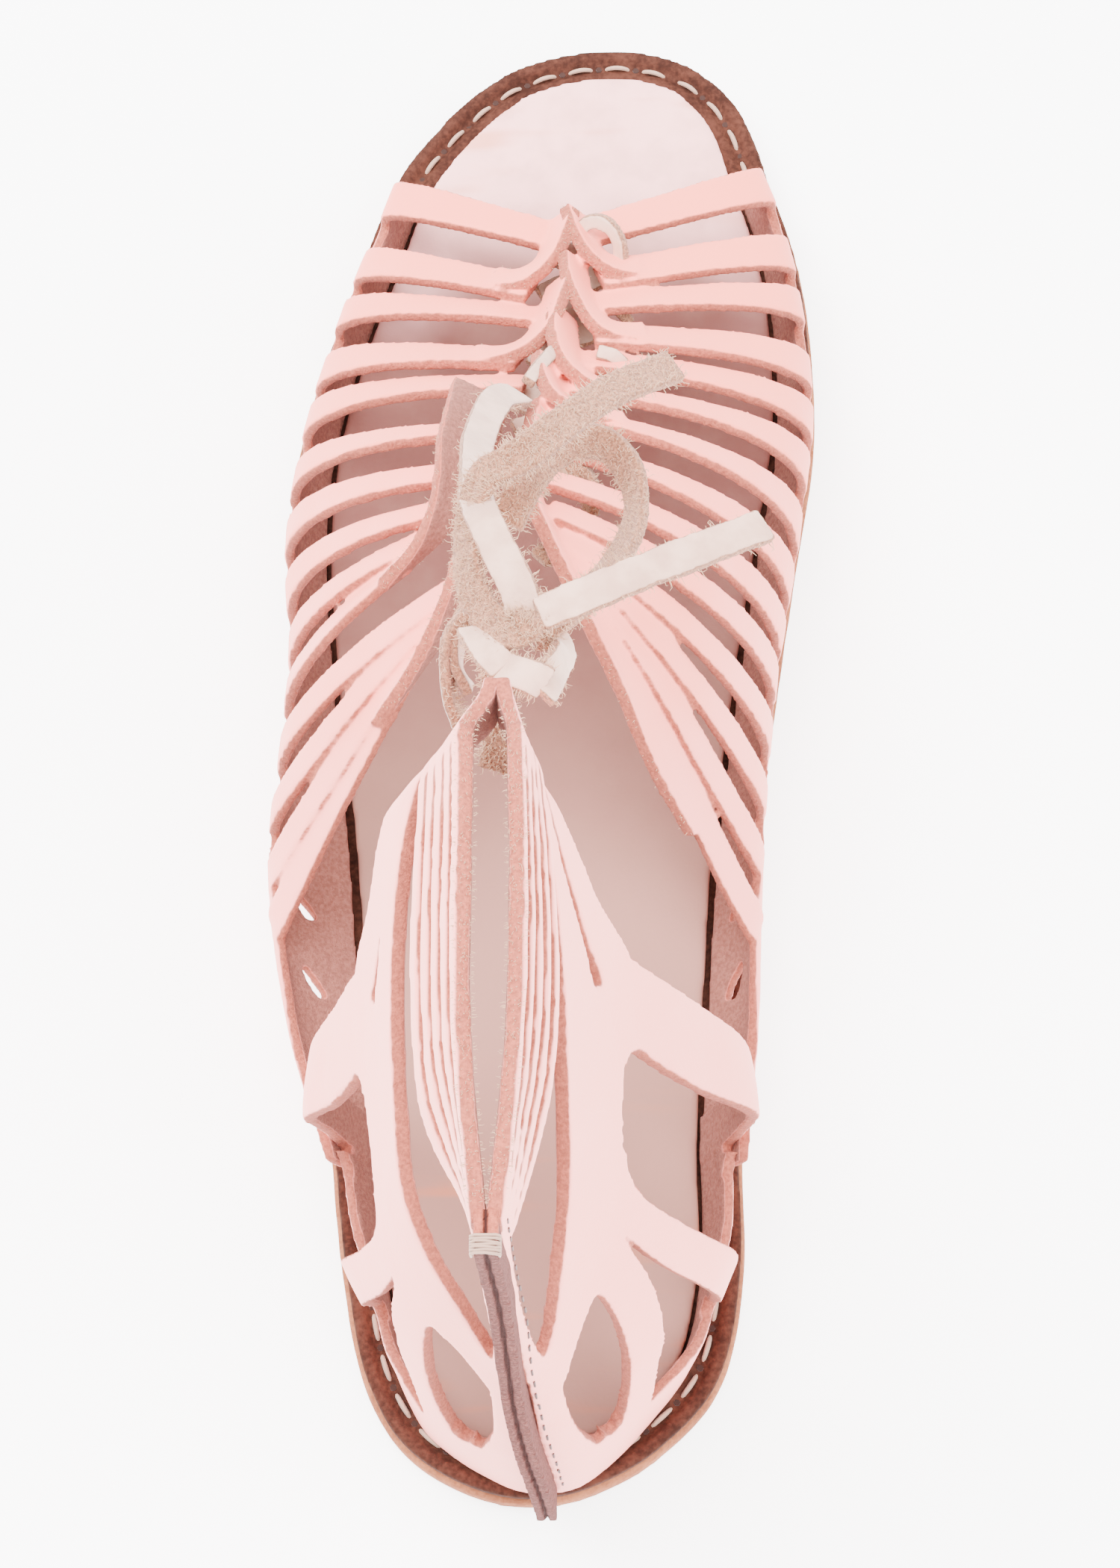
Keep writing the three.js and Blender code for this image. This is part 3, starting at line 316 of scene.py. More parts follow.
# Lace: x, y, z in millimetres and tilt in degrees
LACE = {
    "lace_rise": (
        (-5.8, 42.5, 57.2, 0), (-9.2, 37.5, 65.5, -15), (-12.2, 22.2, 80, -25),
        (-11.9, 6.5, 96, -15), (-11.9, -1.6, 110.5, 0), (-10.8, -7.6, 117, 5),
        (-8.2, -14.6, 119, 12), (-5.4, -20.4, 118, 20), (-4.2, -24, 115.2, 10),
    ),
    "lace_tail_long": (
        (-3.2, -22.5, 115.5, 0), (-3.9, -25.4, 117.2, 0), (-5.9, -26.8, 116.8, 0),
        (-9.1, -24.5, 114.3, -15), (-12, -20.1, 112.3, -35), (-13.6, -14.2, 111.7, -50),
        (-13.7, -8.1, 112.4, -50), (-12.6, -2.8, 113.6, -40), (-10.2, 0.6, 114.6, -15),
        (-6.4, 2.4, 114.8, 0), (-2.8, 5.2, 114.4, 0), (1.3, 9.4, 113, 0),
        (9.2, 17.1, 109.5, 0), (19.5, 24.3, 104, 0),
    ),
    "lace_tail_short": (
        (-2.2, -24.2, 117.4, 0), (9, -19.2, 117.6, 0), (18, -14.3, 115.2, 0),
        (33, -5.6, 109, 0),
    ),
    "lace_loop_right": (
        (-7.3, -4.9, 108, 0), (-4.7, 1, 107, 5), (-2.9, 4.8, 105, 15),
        (0.5, 9.4, 102.5, 25), (4.4, 12.4, 100, 35), (8.4, 12.8, 97, 45),
        (11.5, 10, 94, 55), (12.5, 5.5, 93, 60), (11.5, -0.6, 94.5, 50),
        (9, -6.8, 97.5, 40), (6.3, -12.2, 101.5, 25), (3.4, -17.6, 107, 15),
        (0.2, -22.2, 111.5, 5), (-3.4, -25.2, 113.5, 0),
    ),
    "lace_loop_left": (
        (-11.6, -22.9, 111.6, -40), (-14.2, -25.3, 108.4, -70), (-15.1, -28.6, 104.5, -80),
        (-14.7, -32.3, 101.5, -75), (-13.3, -35, 99.5, -60),
    ),
}
NAP_UP = ("lace_tail_long", "lace_loop_right", "lace_loop_left")

# Turns of the knot: nap side up or not, width and route
KNOT = (
    (False, 5, (
        (-12.3, -24, 112.4, -15), (-10.7, -27.7, 115.2, -10), (-8.7, -31.3, 117, 0),
        (-7.3, -32.9, 117, 0))),
    (False, 5.4, (
        (-8, -32.2, 116.4, 0), (-5.6, -33.7, 118, 0), (-3.2, -34.6, 117.9, 10),
        (-0.8, -35.3, 116, 35))),
    (False, 5.6, (
        (-1.6, -36.2, 116.2, 20), (0.4, -33, 114.6, 45), (1.8, -29.9, 112.6, 60),
        (2.2, -27.1, 111, 60), (0.6, -24.7, 110.6, 40), (-2.4, -24.6, 111.6, 10))),
    (True, 5.4, (
        (-8, -29.5, 114, 0), (-8.3, -33, 112, 0), (-8.6, -36.5, 108, 10),
        (-8.4, -40.2, 103, 10), (-9.2, -43, 99.5, 0))),
    (False, 3.6, (
        (-12.3, -24.1, 111, -50), (-13.6, -26, 108, -75), (-13.7, -28.3, 105.5, -80),
        (-12, -30.7, 103, -60))),
)

# Zigzag of the lace under the ridge: across and along
LACE_BARS = (
    (-4, 0.812), (7, 0.792), (-4, 0.768), (7, 0.744), (-4.5, 0.722), (7, 0.698),
    (-4.5, 0.676), (4, 0.655), (-4.6, 0.64),
)

# Parts of the lace that show beside the ridge: nap side up or not, width and route
LACE_BITS = (
    (False, 2.6, (
        (4.2, 86.4, 34.4, 20), (6.8, 87.2, 36, 40), (9.4, 86.1, 36.4, 50), (11.2, 83.9, 35.2, 50),
        (11.6, 81.3, 33, 40), (11.2, 79.6, 30.6, 20))),
    (True, 2.2, ((9, 71.9, 34.6, 0), (11.6, 70.4, 34.6, 10), (14, 68.6, 32, 30))),
    (False, 2.8, ((7.6, 57.4, 43.6, 0), (10.2, 56.6, 43.6, 10), (12.6, 55.4, 41.4, 30))),
    (False, 2.4, ((0.2, 56, 47, -20), (-2, 51.2, 50.8, -25), (-4.2, 46.6, 54, -10))),
    (True, 3.6, (
        (1, 26.4, 55, 10), (3.6, 27.5, 56, 35), (5.5, 26, 54.5, 55), (5.9, 23.2, 53, 60),
        (4.7, 20.4, 52.5, 45), (1.3, 16.8, 53.5, 15), (-2.5, 12.4, 55, 0))),
)

# Sway of the back seam: height and sideways shift in millimetres
FIN_SWAY = (
    (0.06, 0.5), (0.2, -0.2), (0.34, -0.9), (0.48, -0.8), (0.62, 0), (0.78, 0.6), (1, 0),
)


def lerp(a, b, t):
    return a + (b - a) * t


def clamp(x, low, high):
    return min(max(x, low), high)


def smoothstep(x, low, high):
    t = clamp((x - low) / (high - low), 0, 1)
    return t * t * (3 - 2 * t)


# Curves and surfaces of the foot


def line_length(points):
    return sum((b - a).length for a, b in zip(points, points[1:]))


def measured(points):
    """Length of a line of points, and a function for the point at a distance along it."""
    lengths = [0]
    for a, b in zip(points, points[1:]):
        lengths.append(lengths[-1] + (b - a).length)

    def at(distance):
        i = clamp(bisect.bisect_left(lengths, distance), 1, len(points) - 1)
        share = (distance - lengths[i - 1]) / (lengths[i] - lengths[i - 1])
        return points[i - 1].lerp(points[i], share)

    return lengths[-1], at


def column(rows, key, way=lambda x: x):
    """A smooth curve through one column of a table, by the table's first column."""
    xs = [way(row[0]) for row in rows]
    ys = [row[key] for row in rows]
    last = len(xs) - 1

    def curve(x):
        x = clamp(way(x), xs[0], xs[last])
        i = clamp(bisect.bisect_right(xs, x), 1, last)
        t0, t1 = xs[i - 1], xs[i]
        before = i - 2 if i > 1 else i
        after = i + 1 if i < last else i - 1
        half = (t1 - t0) / 2
        wp = half / (t0 - xs[before])
        wn = half / (xs[after] - t1)
        p = (x - t0) / (t1 - t0)
        pp = p * p
        ppp = pp * p
        return (
            (-wp * ppp + 2 * wp * pp - wp * p) * ys[before]
            + ((1 + wp) * ppp - (1.5 + 2 * wp) * pp + (wp - 0.5) * p + 1) * ys[i - 1]
            + (-(1 + wn) * ppp + (1.5 + wn) * pp + 0.5 * p) * ys[i]
            + (wn * ppp - wn * pp) * ys[after]
        )

    return curve


def turn(along):
    return math.asin(2 * clamp(along, 0, 1) - 1)


OUTLINE_SIDE = {-1: column(OUTLINE, 1, way=turn), 1: column(OUTLINE, 2, way=turn)}
VAMP_SIDE = {-1: column(VAMP, 1), 1: column(VAMP, 2)}
CREST_ACROSS = column(VAMP, 3)
CREST = column(VAMP, 4)
SHAFT_SIDE = {-1: column(SHAFT, 1), 1: column(SHAFT, 2)}
SHAFT_BACK = column(SHAFT, 3)
SHAFT_SWELL = column(SHAFT, 4)


def outline_point(side, along):
    return Vector((HALF_BALL * OUTLINE_SIDE[side](along), (along - 0.5) * SOLE_LENGTH))


def outline_loop(inset, steps):
    """Closed outline of the sole, counter-clockwise, moved inwards by an inset."""
    edge = [outline_point(1, 0.5 - 0.5 * math.cos(math.pi * i / steps)) for i in range(steps + 1)]
    edge += [
        outline_point(-1, 0.5 - 0.5 * math.cos(math.pi * i / steps)) for i in range(steps - 1, 0, -1)
    ]
    loop = []
    for i, point in enumerate(edge):
        way = (edge[(i + 1) % len(edge)] - edge[i - 1]).normalized()
        loop.append(Vector((point.x - way.y * inset, point.y + way.x * inset)))
    return loop


def lift(y):
    """Rise of the toe off the floor."""
    share = clamp((y / SOLE_LENGTH + 0.5 - 0.74) / 0.26, 0, 1.2)
    return TOE_SPRING * share * share


def vamp_point(side, along, reach):
    edge = outline_point(side, along).x
    wide = edge + side * SIDE_BULGE * VAMP_SIDE[side](along)
    y = (along - 0.5) * SOLE_LENGTH
    if reach < FLARE:
        share = reach / FLARE
        base = edge - side * UPPER_INSET
        return Vector((
            lerp(base, wide, math.sin(share * math.pi / 2)), y, lerp(SEAT, WAIST_LEVEL, share)))
    angle = (reach - FLARE) / (1 - FLARE) * math.pi / 2
    top = max(INSTEP * CREST(along), WAIST_LEVEL + 0.5)
    middle = HALF_BALL * CREST_ACROSS(along)
    return Vector((
        lerp(middle, wide, math.cos(angle)), y, lerp(WAIST_LEVEL, top, math.sin(angle))))


def band_top(along):
    """Reach of the edge band's upper edge, raised where the slots are."""
    raised = smoothstep(-along, -0.42, -0.35) * (1 - smoothstep(-along, -0.32, -0.22))
    return FLARE * lerp(0.85, 1.55, raised)


def heel_walk(side, steps=60):
    """Foot of the shaft, from its front to the back seam, by share of its length."""
    start = math.acos(1 - 2 * 0.365)
    walk = [
        outline_point(side, 0.5 - 0.5 * math.cos(start * (1 - i / steps))) for i in range(steps + 1)
    ]
    foot = []
    for i, point in enumerate(walk):
        way = (walk[min(i + 1, steps)] - walk[max(i - 1, 0)]).normalized()
        inset = lerp(UPPER_INSET, 0.8, smoothstep(i / steps, 0.45, 1) ** 2)
        foot.append(Vector((point.x + side * way.y * inset, point.y - side * way.x * inset)))
    seam = Vector((HALF_BALL * SEAM_FOOT[0], (SEAM_FOOT[1] - 0.5) * SOLE_LENGTH))
    pull = seam - foot[steps]
    foot = [p + pull * smoothstep(i / steps, 0.7, 1) for i, p in enumerate(foot)]
    length, at = measured(foot)
    return lambda share: at(clamp(share, 0, 1) * length)


HEEL_FOOT = {-1: heel_walk(-1), 1: heel_walk(1)}


def shaft_point(side, wrap, height):
    closed = lerp(SHAFT_SIDE[side](height), SHAFT_BACK(height), smoothstep(wrap, 0.6, 1))
    drawn = 1 - (1 - closed) * smoothstep(wrap, -0.02, 0.1)
    base = HEEL_FOOT[side](wrap)
    width = lerp(LEATHER + 0.3, COLLAR_OPENING / 2 + LEATHER, math.sin(math.pi * wrap))
    collar_x = HALF_BALL * lerp(COLLAR_FRONT[0], COLLAR_BACK[0], wrap) + side * width
    collar_y = (lerp(COLLAR_FRONT[1], COLLAR_BACK[1], wrap) - 0.5) * SOLE_LENGTH
    bell = math.sin(math.pi * clamp(wrap / 0.8, 0, 1)) ** 2
    out = SHAFT_BULGE * bell * SHAFT_SWELL(height)
    return Vector((
        lerp(base.x, collar_x, drawn) + side * out, lerp(base.y, collar_y, drawn), COLLAR * height))


def vamp(side):
    return lambda u, v: vamp_point(side, u, v)


def shaft(side):
    return lambda u, v: shaft_point(side, u, v)


def normal_at(surface, u, v, spread=0.004):
    """Outward normal: away from the foot's middle line, which ends above the centre of the heel."""
    along_u = surface(u + spread, v) - surface(u - spread, v)
    along_v = surface(u, v + spread) - surface(u, v - spread)
    normal = along_u.cross(along_v).normalized()
    point = surface(u, v)
    middle = max(point.y, (HEEL_CENTRE - 0.5) * SOLE_LENGTH)
    away = Vector((
        point.x - HALF_BALL * COLLAR_FRONT[0], point.y - middle, UP_SHARE * (point.z - SEAT)))
    return -normal if away.dot(normal) < 0 else normal


def finer(rows, steps):
    """Rows of a table made finer by a smooth curve through each column."""
    marked = [(i / (len(rows) - 1), *row) for i, row in enumerate(rows)]
    curves = [column(marked, key + 1) for key in range(len(rows[0]))]
    return [[curve(i / steps) for curve in curves] for i in range(steps + 1)]


# Leather parts as closed sheets: face material 0 is grain, 1 flesh, 2 cut edge


def leather_sheet(bm, along, across, place, thickness):
    """Adds a sheet to bm. place(i, t) gives the outer point and normal of row i, share t across."""
    layer = bm.verts.layers.float_vector.get("outward") or bm.verts.layers.float_vector.new("outward")
    verts = bmesh.ops.create_grid(bm, x_segments=along, y_segments=across, size=1)["verts"]
    faces = list({face for vert in verts for face in vert.link_faces})
    for vert in verts:
        row = round((vert.co.x + 1) / 2 * along)
        point, normal = place(row, (vert.co.y + 1) / 2)
        vert.co = point
        vert[layer] = normal
    grown = bmesh.ops.extrude_face_region(bm, geom=faces)["geom"]
    back = [g for g in grown if isinstance(g, bmesh.types.BMVert)]
    inner = {g for g in grown if isinstance(g, bmesh.types.BMFace)}
    for vert in back:
        vert.co -= vert[layer] * thickness
        vert.co.z = max(vert.co.z, SEAT)
    rim = {face for vert in back for face in vert.link_faces} - inner
    for face in faces:
        face.material_index = 0
    for face in inner:
        face.material_index = 1
    for face in rim:
        face.material_index = 2
    bmesh.ops.recalc_face_normals(bm, faces=list(inner | rim | set(faces)))


def frames(path):
    """Stations of (point, face, side, left, right) from (point, normal, left, right, lean)."""
    made = []
    for i, (point, normal, left, right, lean) in enumerate(path):
        way = (path[min(i + 1, len(path) - 1)][0] - path[max(i - 1, 0)][0]).normalized()
        face = (normal - way * normal.dot(way)).normalized()
        turned = Matrix.Rotation(lean, 3, way)
        made.append((point, turned @ face, turned @ face.cross(way), left, right))
    return made


def ribbon(bm, path, thickness, across=4):
    """Adds a flat thong along a path."""
    stations = frames(path)

    def place(row, t):
        point, face, side, left, right = stations[row]
        return point + side * lerp(-left, right, t), face

    leather_sheet(bm, len(path) - 1, across, place, thickness)


def hairs(rng, stations, thickness, count, nap, longest=2.1):
    """Curled fibres on the edges of a thong and, for a nap of 1 or -1, on its face or back."""
    made = []
    for _ in range(int(count)):
        k = rng.randrange(len(stations) - 1)
        point, face, side, left, right = stations[k]
        start = point.lerp(stations[k + 1][0], rng.random())
        edge = nap == 0 or rng.random() < 0.35
        across = rng.choice((-1, 1)) if edge else rng.uniform(-1, 1)
        start += side * across * (right if across > 0 else left) * 0.97
        if edge:
            outward = side * across + face * rng.uniform(-0.5, 0.7)
            start -= face * rng.uniform(0.2, thickness - 0.2)
        else:
            outward = face * nap
            start -= face * (0.1 if nap > 0 else thickness - 0.1)
        start.z += lift(start.y)
        line = [(start, 1)]
        length = rng.uniform(0.4, longest)
        for share in (0.85, 0.6, 0.3):
            wander = Vector([rng.uniform(-1, 1) for _ in range(3)])
            way = (outward * share + wander * (1.1 - share)).normalized()
            line.append((line[-1][0] + way * length / 3, share))
        made.append(line)
    return made


def panel(bm, surface, rows, across, thickness=LEATHER, outside=lambda u: 0):
    """Adds a piece of a surface between two edges given by rows of low and high u, v."""

    def place(row, t):
        u0, v0, u1, v1 = rows[row]
        u = lerp(u0, u1, t)
        v = lerp(v0, v1, t)
        normal = normal_at(surface, u, v)
        return surface(u, v) + normal * outside(u), normal

    leather_sheet(bm, len(rows) - 1, across, place, thickness)


def strap(bm, side, row, steps=26):
    root, end, far, root_width, end_width, lean = row

    def turned(reach):
        return clamp((reach - FLARE) / (1 - FLARE), 0, 1) * math.pi / 2

    whole = 1 - math.cos(turned(far))
    path = []
    for i in range(steps + 1):
        share = i / steps
        reach = lerp(band_top(root) - 0.07, far, share)
        along = lerp(root, end, (1 - math.cos(turned(reach))) / whole)
        half = STRAP_WIDTH * lerp(root_width, end_width, share) / 2
        tilt = side * math.radians(lean) * smoothstep(share, 0.1, 0.9)
        normal = normal_at(vamp(side), along, reach)
        path.append((vamp_point(side, along, reach), normal, half, half, tilt))
    ribbon(bm, path, LEATHER)


def standing_strip(bm, side, rows, steps=22):
    path = []
    for along, reach, lean, width in finer(rows, steps):
        stand = LOOP_HEIGHT * width
        left, right = (stand, 1) if side > 0 else (1, stand)
        normal = normal_at(vamp(side), along, reach)
        path.append((vamp_point(side, along, reach), normal, left, right, -side * math.radians(lean)))
    ribbon(bm, path, RIDGE_LEATHER)
    return path


def collar_edges(wrap, middle):
    """Low and high edge of the collar's strips; middle is 1 halfway round and 0 at the ends."""
    front = wrap < 0.5
    return (
        lerp(0.83 if front else 0.865, 0.815, middle), lerp(0.935 if front else 0.997, 1.01, middle))


def collar_strip(bm, side, index, steps=44):
    rows = []
    for i in range(steps + 1):
        wrap = lerp(0.07, 0.95, i / steps)
        middle = math.sin(math.pi * wrap)
        low, high = collar_edges(wrap, middle)
        slit = COLLAR_SLIT / COLLAR * lerp(0.35, 1, middle)
        pitch = (high - low + slit) / COLLAR_STRIPS
        rows.append((wrap, low + pitch * index, wrap, low + pitch * (index + 1) - slit))
    spread = COLLAR_SPREAD[side] * (COLLAR_STRIPS - 1 - index)
    panel(
        bm, shaft(side), rows, 2, SHAFT_LEATHER,
        lambda u: spread * math.sin(math.pi * clamp(u, 0, 1)))


def fillet(bm, side, row, steps=8):
    """Fills the corner between two edges of a window with a rounded piece."""
    wrap, height, reach, rise = row
    overlap = -math.copysign(CORNER_OVERLAP, rise)
    rows = []
    for i in range(steps + 1):
        share = i / steps
        fall = 1 - math.sqrt(1 - (1 - share) ** 2)
        u = wrap + reach * share
        rows.append((u, height + overlap, u, height + rise * max(fall, 0.02)))
    panel(bm, shaft(side), rows, 2, SHAFT_LEATHER)


def cut_body(name, build, holes):
    """A leather sheet with holes cut through it, as a bmesh-ready mesh."""
    bm = bmesh.new()
    build(bm)
    whole = mesh_object(name, bm)
    bm = bmesh.new()
    for hole in holes:
        hole(bm)
    for face in bm.faces:
        face.material_index = 2
    tool = mesh_object(name + "_holes", bm)
    cut = whole.modifiers.new("holes", "BOOLEAN")
    cut.operation = "DIFFERENCE"
    cut.object = tool
    cut.solver = "EXACT"
    made = baked(whole)
    for extra in (whole, tool):
        bpy.data.objects.remove(extra)
    return made


def panel_slit(bm, side):
    start, start_height, end, end_height = PANEL_SLITS[side]
    rows = []
    for i in range(SLIT_STEPS + 1):
        share = i / SLIT_STEPS
        wrap = lerp(start, end, share)
        height = lerp(start_height, end_height, share)
        half = lerp(0.3, 1.0, share) * PANEL_SLIT / 2 / COLLAR
        if share > 0.85:
            half = PANEL_SLIT / COLLAR * 0.9
        rows.append((wrap - half * 0.8, height - half, wrap + half * 0.8, height + half))
    panel(bm, shaft(side), rows, 1, 3 * LEATHER, lambda u: LEATHER)


def waist_slot(bm, side, row):
    start, start_reach, end, end_reach = row
    rows = []
    for i in range(SLOT_STEPS + 1):
        share = i / SLOT_STEPS
        half = SLOT_WIDTH[side] / 200 * lerp(0.25, 1, math.sin(math.pi * 0.75 * share))
        along = lerp(start, end, share)
        reach = lerp(start_reach, end_reach, share)
        rows.append((along, reach - half, along, reach + half))
    panel(bm, vamp(side), rows, 1, 3 * LEATHER, lambda u: LEATHER)


# Meshes and objects


def placed(name, data):
    """A new object in the scene."""
    obj = bpy.data.objects.new(name, data)
    bpy.context.scene.collection.objects.link(obj)
    return obj


def set_attributes(mesh, attributes):
    for key, values in attributes.items():
        mesh.attributes.new(key, "FLOAT", "POINT").data.foreach_set("value", values)


def mesh_object(name, bm):
    mesh = bpy.data.meshes.new(name)
    for slot_name in ("grain", "flesh", "edge"):
        mesh.materials.append(bpy.data.materials.get(slot_name) or bpy.data.materials.new(slot_name))
    bm.to_mesh(mesh)
    bm.free()
    return placed(name, mesh)


def baked(obj):
    """The object's mesh with its modifiers applied."""
    bpy.context.view_layer.update()
    graph = bpy.context.evaluated_depsgraph_get()
    return bpy.data.meshes.new_from_object(obj.evaluated_get(graph), depsgraph=graph)


def coordinates(mesh):
    points = np.empty(len(mesh.vertices) * 3, np.float32)
    mesh.vertices.foreach_get("co", points)
    return points.reshape(-1, 3)


def spread_out(values, ends, rounds=3):
    """Softens a value over the mesh, each vertex with its neighbours."""
    count = np.bincount(ends.ravel(), minlength=len(values))
    for _ in range(rounds):
        near = np.bincount(ends[:, 0], values[ends[:, 1]], len(values))
        near += np.bincount(ends[:, 1], values[ends[:, 0]], len(values))
        values = (values + near) / (count + 1)
    return values.astype(np.float32)


def moulded(name, source, voxel, rounds, wave):
    """Joins overlapping leather into one skin with soft arrises, and marks flesh and cut edge."""
    mesh = source.data
    for vert in mesh.vertices:
        vert.co.z += lift(vert.co.y)
    tree = BVHTree.FromObject(source, bpy.context.evaluated_depsgraph_get())
    kinds = [poly.material_index for poly in mesh.polygons]
    join = source.modifiers.new("join", "REMESH")
    join.mode = "VOXEL"
    join.voxel_size = voxel
    ease = source.modifiers.new("ease", "SMOOTH")
    ease.factor = 0.5
    ease.iterations = rounds
    made = baked(source)
    bpy.data.objects.remove(source)
    flesh = np.zeros(len(made.vertices), np.float32)
    edge = np.zeros(len(made.vertices), np.float32)
    normals = np.empty(len(made.vertices) * 3, np.float32)
    made.vertices.foreach_get("normal", normals)
    normals = normals.reshape(-1, 3)
    points = coordinates(made)
    for i, point in enumerate(points):
        found = tree.find_nearest(Vector(point))
        kind = kinds[found[2]]
        flesh[i] = kind == 1
        edge[i] = kind == 2
        points[i] += normals[i] * (wave * noise.noise(Vector(point) * WAVE_SCALE))
    points *= MM
    made.vertices.foreach_set("co", points.ravel())
    ends = np.empty(len(made.edges) * 2, np.int32)
    made.edges.foreach_get("vertices", ends)
    flesh, edge = (spread_out(values, ends.reshape(-1, 2)) for values in (flesh, edge))
    set_attributes(made, {"flesh": flesh, "cut": edge})
    made.materials.clear()
    made.polygons.foreach_set("material_index", np.zeros(len(made.polygons), np.int32))
    made.polygons.foreach_set("use_smooth", np.ones(len(made.polygons), bool))
    made.name = name
    return placed(name, made)


def finish_piece(obj, material, slot=None, *nodes):
    obj.data.materials.clear()
    obj.data.materials.append(material)
    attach(obj, "root")
    if nodes:
        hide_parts(*nodes)
    return obj


def tubes(name, lines, radius, sides=0):
    """Round threads along lines of (point, share of the radius), in millimetres, as one mesh."""
    curve = bpy.data.curves.new(name, "CURVE")
    curve.dimensions = "3D"
    curve.bevel_depth = radius * MM
    curve.bevel_resolution = sides
    curve.use_fill_caps = True
    for line in lines:
        spline = curve.splines.new("POLY")
        spline.points.add(len(line) - 1)
        for place, (point, share) in zip(spline.points, line):
            place.co = (*(point * MM), 1)
            place.radius = share
    holder = placed(name, curve)
    mesh = baked(holder)
    bpy.data.objects.remove(holder)
    mesh.materials.clear()
    mesh.polygons.foreach_set("use_smooth", np.ones(len(mesh.polygons), bool))
    return placed(name, mesh)


# Shader writing


class Value:
    """A shader value that reads like a number in expressions."""

    def __init__(self, shader, socket):
        self.shader = shader
        self.socket = socket

    def _with(self, operation, *others):
        return self.shader.node(
            "ShaderNodeMath", {"operation": operation}, dict(enumerate((self, *others))))

    def __add__(self, other):
        return self._with("ADD", other)

    def __sub__(self, other):
        return self._with("SUBTRACT", other)

    def __mul__(self, other):
        return self._with("MULTIPLY", other)

    def __rsub__(self, other):
        return self.shader.node(
            "ShaderNodeMath", {"operation": "SUBTRACT"}, {0: other, 1: self})

    __radd__ = __add__
    __rmul__ = __mul__

    def above(self, low, high):
        """0 below low, 1 above high."""
        return self.shader.node(
            "ShaderNodeMapRange", {"interpolation_type": "SMOOTHSTEP"},
            {"Value": self, "From Min": low, "From Max": high})


class Shader:
    """One material, written as expressions."""

    def __init__(self, name, roughness, sheen=0.0, gloss=0.35):
        self.material = bpy.data.materials.new(name)
        self.material.use_nodes = True
        self.tree = self.material.node_tree
        self.surface = self.tree.nodes["Principled BSDF"]
        self.surface.inputs["Roughness"].default_value = roughness
        self.surface.inputs["Sheen Weight"].default_value = sheen
        self.surface.inputs["Sheen Roughness"].default_value = 0.5
        self.surface.inputs["Specular IOR Level"].default_value = gloss
        self.place = self.node("ShaderNodeTexCoord", {}, {}, "Object")

    def node(self, kind, settings, inputs, output=None):
        made = self.tree.nodes.new(kind)
        for key, value in settings.items():
            setattr(made, key, value)
        for key, value in inputs.items():
            if isinstance(value, Value):
                self.tree.links.new(value.socket, made.inputs[key])
            else:
                made.inputs[key].default_value = value
        if output is None:
            output = next(i for i, socket in enumerate(made.outputs) if socket.enabled)
        return Value(self, made.outputs[output])

    def noise(self, size, detail=3, roughness=0.55, place=None):
        """Noise with features of a size in millimetres."""
        return self.node(
            "ShaderNodeTexNoise", {},
            {"Vector": place or self.place, "Scale": 1 / (size * MM), "Detail": detail,
             "Roughness": roughness}, 0)

    def pores(self, size):
        return self.node(
            "ShaderNodeTexVoronoi", {"feature": "F1"},
            {"Vector": self.place, "Scale": 1 / (size * MM)}, 0)

    def stretched(self, x, y, z):
        return self.node("ShaderNodeMapping", {}, {"Vector": self.place, "Scale": (x, y, z)})

    def attribute(self, name):
        return self.node("ShaderNodeAttribute", {"attribute_name": name}, {}, "Fac")

    def mix(self, share, a, b):
        made = self.tree.nodes.new("ShaderNodeMix")
        made.data_type = "RGBA"
        for index, value in ((0, share), (6, a), (7, b)):
            if isinstance(value, Value):
                self.tree.links.new(value.socket, made.inputs[index])
            else:
                made.inputs[index].default_value = value if index == 0 else (*value, 1)
        return Value(self, made.outputs[2])

    def link(self, value, name):
        self.tree.links.new(value.socket, self.surface.inputs[name])

    def bump(self, height, distance):
        made = self.node("ShaderNodeBump", {}, {"Height": height, "Distance": distance * MM})
        self.link(made, "Normal")


def colour(name):
    return tuple(getattr(bpy.context.scene.sandal, name))


def upper_leather():
    """Smooth pale grain, rough flesh and salmon cut edges."""
    s = Shader("upper_leather", 0.55, sheen=0.04, gloss=0.3)
    flesh = s.attribute("flesh").above(0.35, 0.65)
    cut = s.attribute("cut").above(0.3, 0.7)
    cloud = s.noise(22, 2)
    fine = s.noise(1.2, 3)
    along = s.node("ShaderNodeSeparateXYZ", {}, {"Vector": s.place}, 1)
    deep = (along + (cloud - 0.5) * 0.08).above(-0.05, 0.045)
    grain = s.mix(deep, colour("grain_light"), colour("grain_deep"))
    nap = s.mix(s.noise(0.7, 4).above(0.3, 0.7), colour("flesh_dark"), colour("flesh_light"))
    raw = s.mix(s.noise(0.6, 4).above(0.3, 0.7), colour("cut_dark"), colour("cut_light"))
    base = s.mix(cut, s.mix(flesh, grain, nap), raw)
    s.link(base, "Base Color")
    rough = flesh * 0.35 + cut * 0.3
    s.link(0.5 + rough + fine * 0.08, "Roughness")
    pores = s.pores(0.55)
    fibre = s.noise(0.35, 4)
    s.bump(pores * 0.35 + fine * 0.4 + (flesh + cut) * fibre * 2.6, 0.12)
    return s.material


